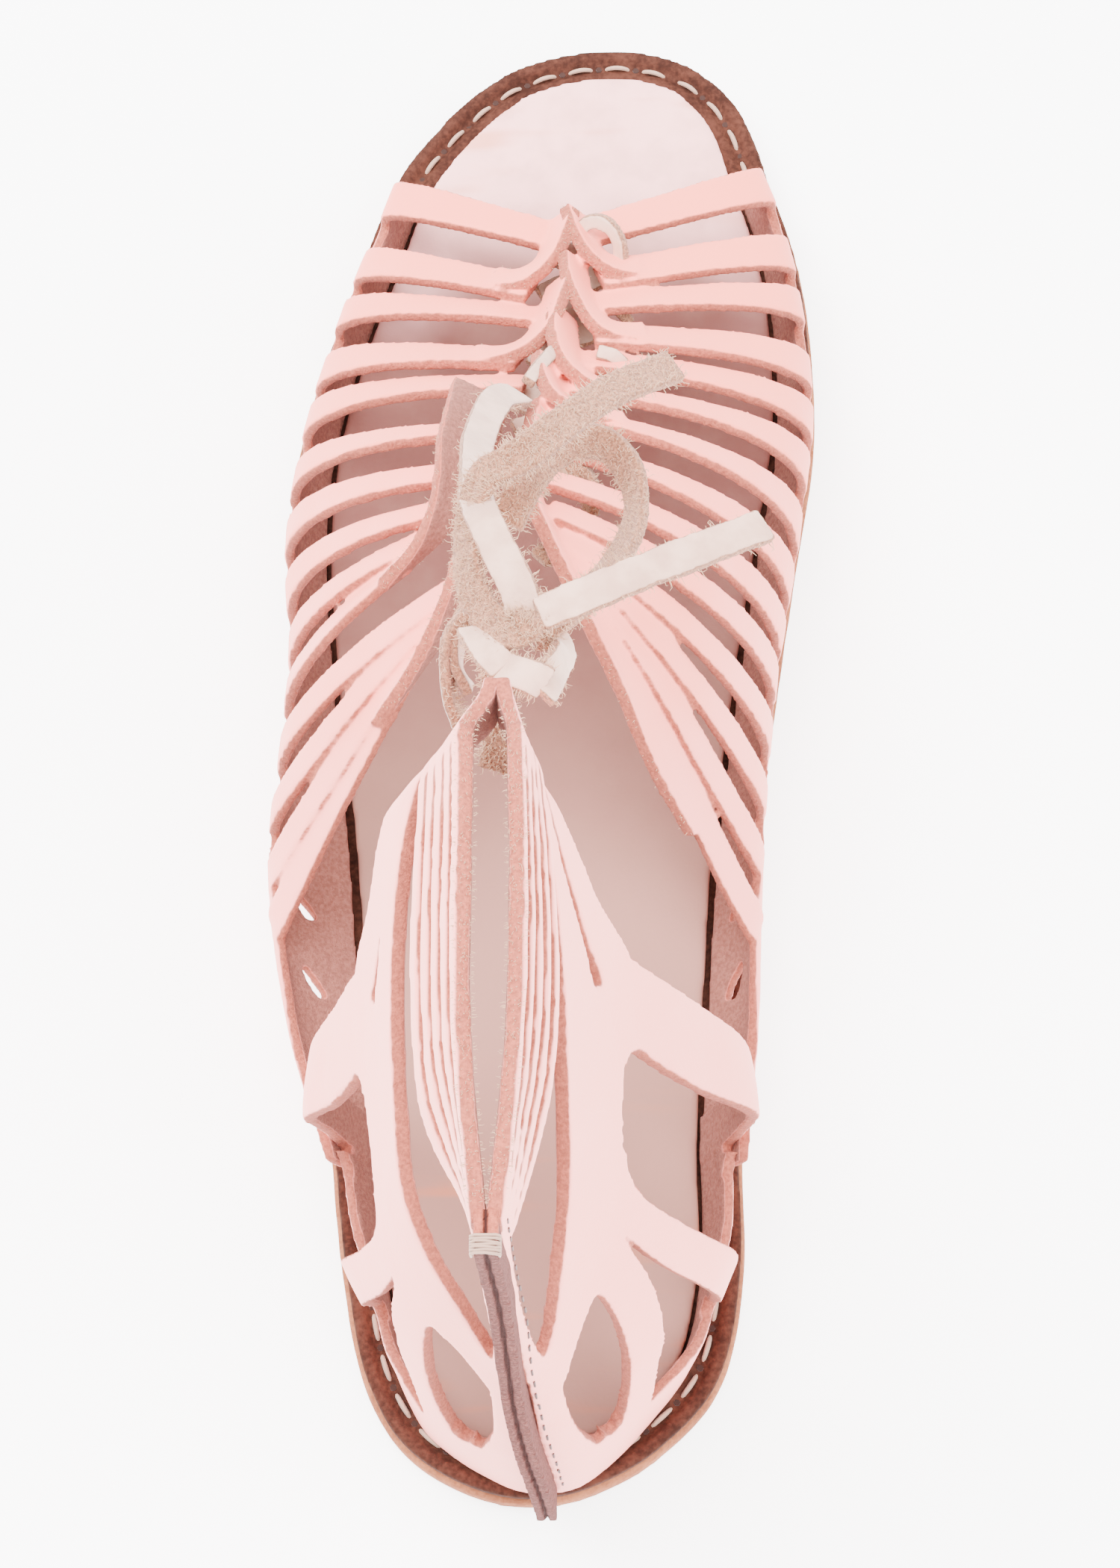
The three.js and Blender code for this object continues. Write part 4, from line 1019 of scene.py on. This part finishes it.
def seam_leather():
    """Edges of the back seam: grey-mauve, glittering with fibre ends."""
    s = Shader("seam_edge", 0.9, gloss=0.15)
    speck = s.noise(0.5, 4, 0.7)
    base = s.mix(speck.above(0.4, 0.75), colour("seam_dark"), colour("seam_light"))
    raw = s.mix(speck.above(0.3, 0.7), colour("cut_dark"), colour("cut_light"))
    base = s.mix(s.attribute("crown"), base, raw)
    # Painted shade: the parting between the two turned-out edges is darkened to a dark line.
    part = s.attribute("parting").above(0.1, 0.9)
    s.link(s.mix(part, base, tuple(c * 0.45 for c in colour("seam_dark"))), "Base Color")
    s.bump(s.noise(0.45, 4) - part * 1.5, 0.3)
    return s.material


def sole_leather(name, light, dark, size=0.8):
    s = Shader(name, 0.8, gloss=0.08)
    cloud = s.noise(9, 3)
    fine = s.noise(size, 4)
    shade = cloud * 0.5 + fine * 0.5
    s.link(s.mix(shade.above(0.35, 0.65), colour(dark), colour(light)), "Base Color")
    s.bump(fine + s.noise(size * 3, 3) * 0.6, 0.18)
    return s.material


def insole_leather():
    """Pale at the toe, with shade painted darker under the straps and at the heel, and a few stains.
    """
    s = Shader("insole_leather", 0.7, gloss=0.2)
    cloud = s.noise(30, 3)
    fine = s.noise(0.7, 4)
    along = s.node("ShaderNodeSeparateXYZ", {}, {"Vector": s.place}, 1) + (cloud - 0.5) * 0.05
    # Painted shade: the insole is dark behind the open toe, darkest under the forefoot straps and
    # less dark under the shaft.
    toe = along.above(0.076, 0.112)
    painted_shade = s.mix(along.above(-0.03, 0.04), colour("insole_painted_shade"), colour("insole_painted_strap_shade"))
    base = s.mix(toe, painted_shade, colour("insole_light"))
    grey = s.mix(s.noise(9, 3).above(0.4, 0.7) * 0.25, base, colour("insole_painted_shade"))
    streak = s.noise(11, 2, place=s.stretched(0.3, 1.8, 1))
    ends = 1 - along.above(-0.09, -0.06) * (1 - along.above(0.095, 0.12))
    s.link(s.mix(streak.above(0.57, 0.75) * ends * 0.5, grey, colour("insole_stain")), "Base Color")
    s.bump(fine * 0.6 + s.pores(0.8) * 0.4, 0.08)
    return s.material


def lace_leather():
    """White grain on one face, tan nap on the other and along the edges."""
    s = Shader("lace_leather", 0.7, sheen=0.25)
    nap = (s.attribute("flesh") + s.attribute("cut")).above(0.35, 0.65)
    cloud = s.noise(6, 3)
    fibre = s.noise(0.45, 5, 0.65)
    grain = s.mix(cloud.above(0.3, 0.7), colour("lace_grain"), colour("lace_shade"))
    suede = s.mix(fibre.above(0.35, 0.65), colour("lace_nap_dark"), colour("lace_nap"))
    s.link(s.mix(nap, grain, suede), "Base Color")
    s.link(0.6 + nap * 0.35, "Roughness")
    s.bump(s.noise(0.8, 3) * 0.5 + nap * fibre * 2.5, 0.2)
    return s.material


def plain(name, key, roughness, size, depth):
    s = Shader(name, roughness, sheen=0.2)
    base = colour(key)
    s.link(s.mix(s.noise(size, 3), tuple(c * 0.8 for c in base), base), "Base Color")
    s.bump(s.noise(size, 3), depth)
    return s.material


# Settings


def tint(name, default):
    return bpy.props.FloatVectorProperty(
        name=name, description=f"Colour of the {name.lower()}", subtype="COLOR", size=3, min=0, max=1,
        default=default)


class SandalSettings(bpy.types.PropertyGroup):
    detail: bpy.props.FloatProperty(
        name="Leather detail", description="Size of the smallest face on the upper", default=0.5,
        min=0.3, max=2)
    stitch_pitch: bpy.props.FloatProperty(
        name="Stitch pitch", description="Millimetres from one sole stitch to the next", default=7.1)
    fuzz: bpy.props.IntProperty(
        name="Fuzz", description="Loose fibres for each centimetre of thong", default=90, min=0)
    grain_light: tint("Light grain", (0.98, 0.31, 0.265))
    grain_deep: tint("Deep grain", (0.94, 0.215, 0.155))
    flesh_light: tint("Light flesh side", (0.32, 0.112, 0.082))
    flesh_dark: tint("Dark flesh side", (0.21, 0.068, 0.05))
    cut_light: tint("Light cut edge", (0.44, 0.108, 0.066))
    cut_dark: tint("Dark cut edge", (0.27, 0.064, 0.04))
    seam_light: tint("Light seam edge", (0.22, 0.075, 0.063))
    seam_dark: tint("Dark seam edge", (0.09, 0.028, 0.024))
    outsole_light: tint("Light sole edge", (0.36, 0.13, 0.062))
    outsole_dark: tint("Dark sole edge", (0.22, 0.072, 0.035))
    midsole_light: tint("Light welt", (0.075, 0.025, 0.016))
    midsole_dark: tint("Dark welt", (0.028, 0.009, 0.006))
    insole_light: tint("Light insole", (0.90, 0.45, 0.43))
    # Painted shade of the insole under the shaft, and darker painted shade between the forefoot
    # straps.
    insole_painted_shade: tint("Painted insole shade", (0.36, 0.17, 0.135))
    insole_painted_strap_shade: tint("Painted shade between the straps", (0.25, 0.092, 0.076))
    insole_stain: tint("Insole stain", (0.62, 0.17, 0.07))
    lace_grain: tint("Lace grain", (0.62, 0.38, 0.29))
    lace_shade: tint("Lace shade", (0.48, 0.27, 0.20))
    lace_nap: tint("Lace nap", (0.50, 0.215, 0.115))
    lace_nap_dark: tint("Dark lace nap", (0.20, 0.077, 0.04))
    thread: tint("Sole thread", (0.42, 0.25, 0.18))
    fibre: tint("Loose fibre", (0.60, 0.34, 0.21))
    fine_thread: tint("Seam thread", (0.10, 0.05, 0.045))


class Maker(bpy.types.Operator):
    """Makes one part of the sandal"""

    bl_options = {"REGISTER", "UNDO"}

    def execute(self, context):
        self.make(context.scene.sandal)
        return {"FINISHED"}


def aim(obj, target):
    obj.rotation_euler = (Vector(target) - obj.location).to_track_quat("-Z", "Y").to_euler()


class SANDAL_OT_stage(Maker):
    """Sets the camera, the floor and the soft light"""

    bl_idname = "sandal.stage"
    bl_label = "Stage"

    def make(self, settings):
        scene = bpy.context.scene
        camera = placed("camera", bpy.data.cameras.new("camera"))
        camera.data.lens = CAMERA_LENS
        camera.data.sensor_width = CAMERA_SENSOR
        camera.location = CAMERA_PLACE
        aim(camera, CAMERA_TARGET)
        scene.camera = camera
        bm = bmesh.new()
        bmesh.ops.create_circle(bm, cap_ends=True, segments=64, radius=3)
        mesh = bpy.data.meshes.new("floor")
        bm.to_mesh(mesh)
        bm.free()
        floor = placed("floor", mesh)
        paper = Shader("paper", 0.9)
        paper.surface.inputs["Base Color"].default_value = (0.93, 0.925, 0.925, 1)
        paper.surface.inputs["Emission Color"].default_value = (1, 1, 1, 1)
        paper.surface.inputs["Emission Strength"].default_value = 3
        mesh.materials.append(paper.material)
        for name, place, size, power in LIGHTS:
            light = placed(name, bpy.data.lights.new(name, "AREA"))
            light.data.size = size
            light.data.energy = power
            light.location = place
            aim(light, (0, 0, 0.03))
        world = bpy.data.worlds.new("room")
        world.use_nodes = True
        world.node_tree.nodes["Background"].inputs["Color"].default_value = (1, 0.99, 0.985, 1)
        world.node_tree.nodes["Background"].inputs["Strength"].default_value = 2.0
        scene.world = world


def smooth_route(points, steps):
    """Points and tilts along a centripetal curve through a route."""
    rows = [Vector(p) for p in points]
    count = len(rows)
    made = []
    for i in range(steps + 1):
        share = i / steps * (count - 1)
        k = min(int(share), count - 2)
        p1, p2 = rows[k], rows[k + 1]
        p0 = rows[k - 1] if k else p1 * 2 - p2
        p3 = rows[k + 2] if k + 2 < count else p2 * 2 - p1
        t1 = (p1.xyz - p0.xyz).length ** 0.5
        t2 = t1 + (p2.xyz - p1.xyz).length ** 0.5
        t3 = t2 + (p3.xyz - p2.xyz).length ** 0.5
        t = lerp(t1, t2, share - k)
        a1 = p0.lerp(p1, t / t1)
        a2 = p1.lerp(p2, (t - t1) / (t2 - t1))
        a3 = p2.lerp(p3, (t - t2) / (t3 - t2))
        b1 = a1.lerp(a2, t / t2)
        b2 = a2.lerp(a3, (t - t1) / (t3 - t1))
        made.append(b1.lerp(b2, (t - t1) / (t2 - t1)))
    return made


def lay_thong(bm, route, nap_up, width=THONG_WIDTH, steps=60):
    """Adds a stretch of flat lace to bm; returns its path."""
    path = []
    for row in smooth_route(route, steps):
        half = width / 2 * (1 + 0.07 * noise.noise(row.xyz * 0.3))
        path.append((row.xyz.copy(), Vector((0, 0, 1)), half, half, math.radians(row.w)))
    old = len(bm.faces)
    ribbon(bm, path, THONG_THICKNESS, 6)
    bm.faces.ensure_lookup_table()
    if nap_up:
        for face in bm.faces[old:]:
            face.material_index = (1, 0, 2)[face.material_index]
    return path


def thong(name, rows):
    """One piece of lace from rows of (nap side up, width, route); returns it and its paths."""
    bm = bmesh.new()
    paths = [lay_thong(bm, route, nap_up, width) for nap_up, width, route in rows]
    return moulded(name, mesh_object(name, bm), voxel=0.4, rounds=3, wave=0.12), paths


class SANDAL_OT_lace(Maker):
    """Ties the lace: its rise from the crest, the knot, two free ends and the loops"""

    bl_idname = "sandal.lace"
    bl_label = "Lace"

    def make(self, settings):
        leather = lace_leather()
        pieces = {}
        paths = {}
        for name, route in LACE.items():
            piece, made = thong(name + "_leather", [(name in NAP_UP, THONG_WIDTH, route)])
            pieces[name] = finish_piece(piece, leather, "lace_leather", name)
            paths[name] = made[0]
        knots = []
        for i, row in enumerate(KNOT):
            piece, made = thong(f"lace_knot_turn_{i + 1}", [row])
            knots.append(finish_piece(piece, leather, "lace_leather", "lace_knot"))
            paths[piece.name] = made[0]
        bars = []
        for (across, along), (to_across, to_along) in zip(LACE_BARS, LACE_BARS[1:]):
            ends = []
            for x, y in ((across, along), (to_across, to_along)):
                depth = INSTEP * CREST(y) - LEATHER - 3
                ends.append((HALF_BALL * CREST_ACROSS(y) + x, (y - 0.5) * SOLE_LENGTH, depth, 0))
            bars.append((False, THONG_WIDTH, ends))
        piece, made = thong("lace_crossings_leather", [*bars, *LACE_BITS])
        finish_piece(piece, leather, "lace_leather", "lace_crossings")
        self.declare(pieces, paths, knots)
        self.fuzz(settings, paths, made[len(bars):])

    def declare(self, pieces, paths, knots):
        for name, far, extra in (
            ("lace_rise", "knot", knots + [pieces["lace_loop_left"]]),
            ("lace_tail_long", "bare", []),
            ("lace_tail_short", "bare", []),
            ("lace_loop_right", "object", []),
        ):
            line = []
            for point, *_ in paths[name]:
                drop = Vector((0, 0, lift(point.y) - THONG_THICKNESS / 2))
                line.append((point + drop) * MM)
            line_length(line)

    def fuzz(self, settings, paths, bits):
        """Loose fibres along the thong's edges and on its nap side."""
        rng = random.Random(7)
        lines = []
        for name, density, nap in (
            ("lace_tail_long", 3.2, 1), ("lace_loop_right", 1.8, 1), ("lace_rise", 0.5, -1),
            ("lace_tail_short", 0.3, 0), ("lace_loop_left", 1.4, 1), ("lace_knot_turn_1", 0.8, 0),
            ("lace_knot_turn_2", 0.7, 0), ("lace_knot_turn_3", 0.6, 0), ("lace_knot_turn_4", 2.6, 1),
        ):
            stations = frames(paths[name])
            length = line_length([station[0] for station in stations])
            count = settings.fuzz * density * length / 10
            lines += hairs(rng, stations, THONG_THICKNESS, count, nap)
        lines += hairs(rng, frames(bits[-1]), THONG_THICKNESS, settings.fuzz * 4, 1)
        piece = tubes("lace_fuzz", lines, LACE_FIBRE)
        finish_piece(piece, plain("lace_fibre", "fibre", 0.9, 1.5, 0.02), "lace_leather")


def sole_layer(name, inset, low, high, voxel, rounds):
    """A flat layer with the outline of the foot, soft at its arrises."""
    bm = bmesh.new()
    loop = outline_loop(inset, 110)
    ring = bmesh.ops.create_circle(bm, cap_ends=True, segments=len(loop), radius=1)["verts"]
    ring.sort(key=lambda v: v.index)
    for vert, point in zip(ring, loop):
        vert.co = (point.x, point.y, low)
    grown = bmesh.ops.extrude_face_region(bm, geom=bm.faces[:])["geom"]
    bmesh.ops.translate(
        bm, verts=[g for g in grown if isinstance(g, bmesh.types.BMVert)], vec=(0, 0, high - low))
    bmesh.ops.recalc_face_normals(bm, faces=bm.faces[:])
    return moulded(name, mesh_object(name, bm), voxel, rounds, wave=0.1)


class SANDAL_OT_sole(Maker):
    """Makes the outsole, the welt with its stitched groove and the insole"""

    bl_idname = "sandal.sole"
    bl_label = "Sole"

    def make(self, settings):
        outsole = sole_layer("outsole_leather", 0, 0, OUTSOLE_TOP, voxel=0.9, rounds=3)
        finish_piece(
            outsole, sole_leather("outsole_leather", "outsole_light", "outsole_dark"),
            "outsole_leather", "outsole")
        welt = sole_layer(
            "welt_leather", MIDSOLE_STEP, OUTSOLE_TOP + 0.02, MIDSOLE_TOP, voxel=0.7, rounds=2)
        self.press_groove(welt)
        finish_piece(
            welt, sole_leather("welt_leather", "midsole_light", "midsole_dark", 1.0),
            "midsole_leather", "midsole")
        insole = sole_layer(
            "insole_leather", INSOLE_MARGIN, SEAT - 0.2, INSOLE_TOP, voxel=0.8, rounds=3)
        finish_piece(insole, insole_leather(), "insole_leather", "insole")
        self.stitches(settings)

    def press_groove(self, welt):
        """Presses the stitch groove into the welt."""
        line = outline_loop(STITCH_INSET, 110)
        mesh = welt.data
        tree = BVHTree.FromPolygons(
            [(p.x, p.y, z) for z in (0, 20) for p in line],
            [
                (i, (i + 1) % len(line), (i + 1) % len(line) + len(line), i + len(line))
                for i in range(len(line))
            ])
        points = coordinates(mesh) / MM
        for i, point in enumerate(points):
            if point[2] - lift(point[1]) > MIDSOLE_TOP - 0.7:
                away = tree.find_nearest(Vector((point[0], point[1], 10)))[3]
                points[i][2] -= 1.1 * (1 - smoothstep(away, 0.6, 1.7))
        mesh.vertices.foreach_set("co", (points * MM).ravel())

    def stitches(self, settings):
        """Pale thread in the groove, with a dark dot of painted shade for the hole at each end of a
        stitch.
        """
        loop = outline_loop(STITCH_INSET, 300)
        length, at = measured(loop)
        count = int(length / settings.stitch_pitch)
        pitch = length / count
        threads = []
        holes = []
        for n in range(count):
            line = []
            for step in range(9):
                share = step / 8
                flat = at((n + lerp(0.16, 0.84, share)) * pitch % length)
                arch = math.sin(math.pi * share) ** 0.5
                z = MIDSOLE_TOP - 1.6 + arch * 1.1 + lift(flat.y)
                line.append((Vector((flat.x, flat.y, z)), 0.55 + 0.45 * arch))
            threads.append(line)
            flat = at(n * pitch % length)
            z = MIDSOLE_TOP - 0.95 + lift(flat.y)
            holes.append([
                (Vector((flat.x, flat.y, z - 0.4)), 1), (Vector((flat.x, flat.y, z)), 0.9)])
        piece = tubes("sole_thread", threads, SOLE_THREAD, 1)
        finish_piece(piece, plain("sole_thread", "thread", 0.8, 0.5, 0.15), "midsole_leather")
        # Painted shade: dark dots in the welt's dark colour stand where the shaded stitch holes are.
        piece = tubes("stitch_holes", holes, STITCH_HOLE_SHADE, 1)
        finish_piece(piece, plain("hole", "midsole_dark", 1, 1, 0.05), "midsole_leather")


class SANDAL_OT_upper(Maker):
    """Cuts the upper: bands, straps, standing strips, shaft panels, collar strips and back seam"""

    bl_idname = "sandal.upper"
    bl_label = "Upper"

    def make(self, settings):
        leather = upper_leather()
        edges = []
        for side, hand in ((-1, "left"), (1, "right")):
            bm = bmesh.new()
            holed = cut_body(
                "band", lambda b: self.band(b, side),
                [lambda b, row=row: waist_slot(b, side, row) for row in WAIST_SLOTS])
            bm.from_mesh(holed)
            for row in STRAPS[side]:
                strap(bm, side, row)
            edges += [standing_strip(bm, side, rows) for rows in STRIPS[side]]
            piece = moulded(
                f"vamp_{hand}", mesh_object("vamp", bm), settings.detail, rounds=4, wave=0.12)
            finish_piece(piece, leather, "upper_leather", "upper")
            bm = bmesh.new()
            holed = cut_body(
                "panel", lambda b: panel(b, shaft(side), finer(PANEL, 64), 12, SHAFT_LEATHER),
                [lambda b: panel_slit(b, side)])
            bm.from_mesh(holed)
            rows = [(w, SEAT / COLLAR, w, h) for w, h in finer(HEEL_BAND, 48)]
            panel(bm, shaft(side), rows, 5)
            for table in (
                BACK_STRIP, SEAM_FLANGE, FRONT_STRAP, MIDDLE_STRAP, CURVED_STRAP, FRONT_TAB, BACK_TAB,
            ):
                panel(bm, shaft(side), finer(table, 28), 5, SHAFT_LEATHER)
            for row in FILLETS:
                fillet(bm, side, row)
            for index in range(COLLAR_STRIPS):
                collar_strip(bm, side, index)
            piece = moulded(
                f"shaft_{hand}", mesh_object("shaft", bm), settings.detail, rounds=6, wave=0.12)
            finish_piece(piece, leather, "upper_leather", "upper")
        self.edge_fuzz(settings, edges)
        self.seam()

    def edge_fuzz(self, settings, edges):
        """Short fibres on the cut edges of the standing strips and round the collar."""
        rng = random.Random(11)
        lines = []
        for path in edges:
            lines += hairs(rng, frames(path), RIDGE_LEATHER, settings.fuzz * 2, 0, 0.9)
        for side in (-1, 1):
            path = []
            for i in range(81):
                wrap = lerp(0.02, 0.97, i / 80)
                high = collar_edges(wrap, math.sin(math.pi * wrap))[1]
                inward = normal_at(shaft(side), wrap, high) * SHAFT_LEATHER / 2
                half = SHAFT_LEATHER / 2
                path.append((
                    shaft_point(side, wrap, high) - inward, Vector((0, 0, 1)), half, half, 0))
            lines += hairs(rng, frames(path), 1, settings.fuzz * 7, 1, 1.0)
        piece = tubes("leather_fuzz", lines, LEATHER_FIBRE)
        finish_piece(piece, plain("leather_fibre", "fibre", 0.9, 1.5, 0.02), "upper_leather")

    def band(self, bm, side):
        rows = []
        for i in range(81):
            along = lerp(0.878, 0.2, i / 80)
            rows.append((along, 0, along, band_top(along)))
        panel(bm, vamp(side), rows, 6)

    def seam(self):
        """Back seam: both edges turned out, with shade painted as a dark line between them."""
        sway = column(FIN_SWAY, 1)
        path = []
        for i in range(61):
            height = lerp((SEAT + 0.6) / COLLAR, 1.003, i / 60)
            point = shaft_point(-1, 1, height).lerp(shaft_point(1, 1, height), 0.5)
            point += Vector((sway(height), -FIN_DEPTH, 0))
            path.append((point, Vector((0, -1, 0)), FIN_HALF, FIN_HALF, 0))
        bm = bmesh.new()
        ribbon(bm, path, FIN_DEPTH + LEATHER, 8)
        piece = moulded(
            "back_seam", mesh_object("back_seam", bm), voxel=0.4, rounds=3, wave=0.15)
        points = coordinates(piece.data) / MM
        parting = np.zeros(len(points), np.float32)
        crown = np.zeros(len(points), np.float32)
        heights = [p[0].z + lift(p[0].y) for p in path]
        for i, point in enumerate(points):
            k = clamp(bisect.bisect_left(heights, point[2]), 1, len(path) - 1)
            share = clamp((point[2] - heights[k - 1]) / (heights[k] - heights[k - 1]), 0, 1)
            middle = path[k - 1][0].lerp(path[k][0], share)
            near = 1 - smoothstep(abs(point[0] - middle.x), 0.1, 0.5)
            on_top = smoothstep(point[2], heights[-1] - 1.6, heights[-1] - 0.6)
            # Presses a shallow groove at the parting and marks it for its painted shade.
            if point[1] < middle.y + 1.2:
                parting[i] = near
                points[i][1] += near * 0.7
            elif on_top:
                crown[i] = on_top * smoothstep(point[1] - middle.y, 1.8, 2.6)
                parting[i] = near * on_top
                points[i][2] -= near * 0.6 * on_top
        piece.data.vertices.foreach_set("co", (points * MM).ravel())
        set_attributes(piece.data, {"parting": parting, "crown": crown})
        finish_piece(piece, seam_leather(), "upper_leather", "upper")
        self.seam_threads(path)

    def seam_threads(self, path):
        """Wrapped thread at the top of the back seam and the fine stitches beside it."""
        rng = random.Random(3)
        top = path[-1][0]
        strands = []
        for k in range(7):
            y = top.y + 0.2 + k * 0.38 + rng.uniform(-0.1, 0.1)
            strands.append([
                (Vector((top.x + x * 1.02, y + rng.uniform(-0.15, 0.15), top.z + z)), 1)
                for x, z in (
                    (-1.9, -2.4), (-2.0, -0.5), (-1.4, 0.12), (0, 0.2), (1.4, 0.12), (2.0, -0.5),
                    (1.9, -2.4))
            ])
        piece = tubes("seam_wrap", strands, WRAP_THREAD, 1)
        finish_piece(piece, plain("wrap_thread", "thread", 0.8, 0.6, 0.05), "upper_leather")
        dashes = []
        for first, second in zip(path[3:-4:2], path[4:-3:2]):
            for low, high in ((0.0, 0.35), (0.5, 0.85)):
                dash = []
                for share in (low, high):
                    middle = first[0].lerp(second[0], share * 2 if share < 0.5 else share)
                    height = middle.z / COLLAR
                    wrap = 1.0
                    while shaft_point(1, wrap, height).x - middle.x < FIN_HALF + 1.1 and wrap > 0.966:
                        wrap -= 0.002
                    point = shaft_point(1, wrap, height) + normal_at(shaft(1), wrap, height) * 0.05
                    dash.append((point + Vector((0, 0, lift(point.y))), 1))
                dashes.append(dash)
        piece = tubes("seam_stitches", dashes, SEAM_THREAD)
        finish_piece(piece, plain("fine_thread", "fine_thread", 0.9, 0.6, 0.05), "upper_leather")


class SANDAL_PT_panel(bpy.types.Panel):
    """Lists the makers of the sandal's parts"""

    bl_idname = "SANDAL_PT_panel"
    bl_label = "Sandal"
    bl_space_type = "VIEW_3D"
    bl_region_type = "UI"
    bl_category = "Sandal"

    def draw(self, context):
        for key in SandalSettings.__annotations__:
            self.layout.prop(context.scene.sandal, key)
        for maker in MAKERS:
            self.layout.operator(maker.bl_idname)


MAKERS = (SANDAL_OT_stage, SANDAL_OT_lace, SANDAL_OT_sole, SANDAL_OT_upper)


def register():
    bpy.utils.register_class(SandalSettings)
    bpy.types.Scene.sandal = bpy.props.PointerProperty(type=SandalSettings)
    for maker in MAKERS:
        bpy.utils.register_class(maker)
    bpy.utils.register_class(SANDAL_PT_panel)


def unregister():
    bpy.utils.unregister_class(SANDAL_PT_panel)
    for maker in reversed(MAKERS):
        bpy.utils.unregister_class(maker)
    del bpy.types.Scene.sandal
    bpy.utils.unregister_class(SandalSettings)


def main():
    register()
    bpy.ops.sandal.stage()
    bpy.ops.sandal.lace()
    bpy.ops.sandal.sole()
    bpy.ops.sandal.upper()


if __name__ == "__main__":
    main()
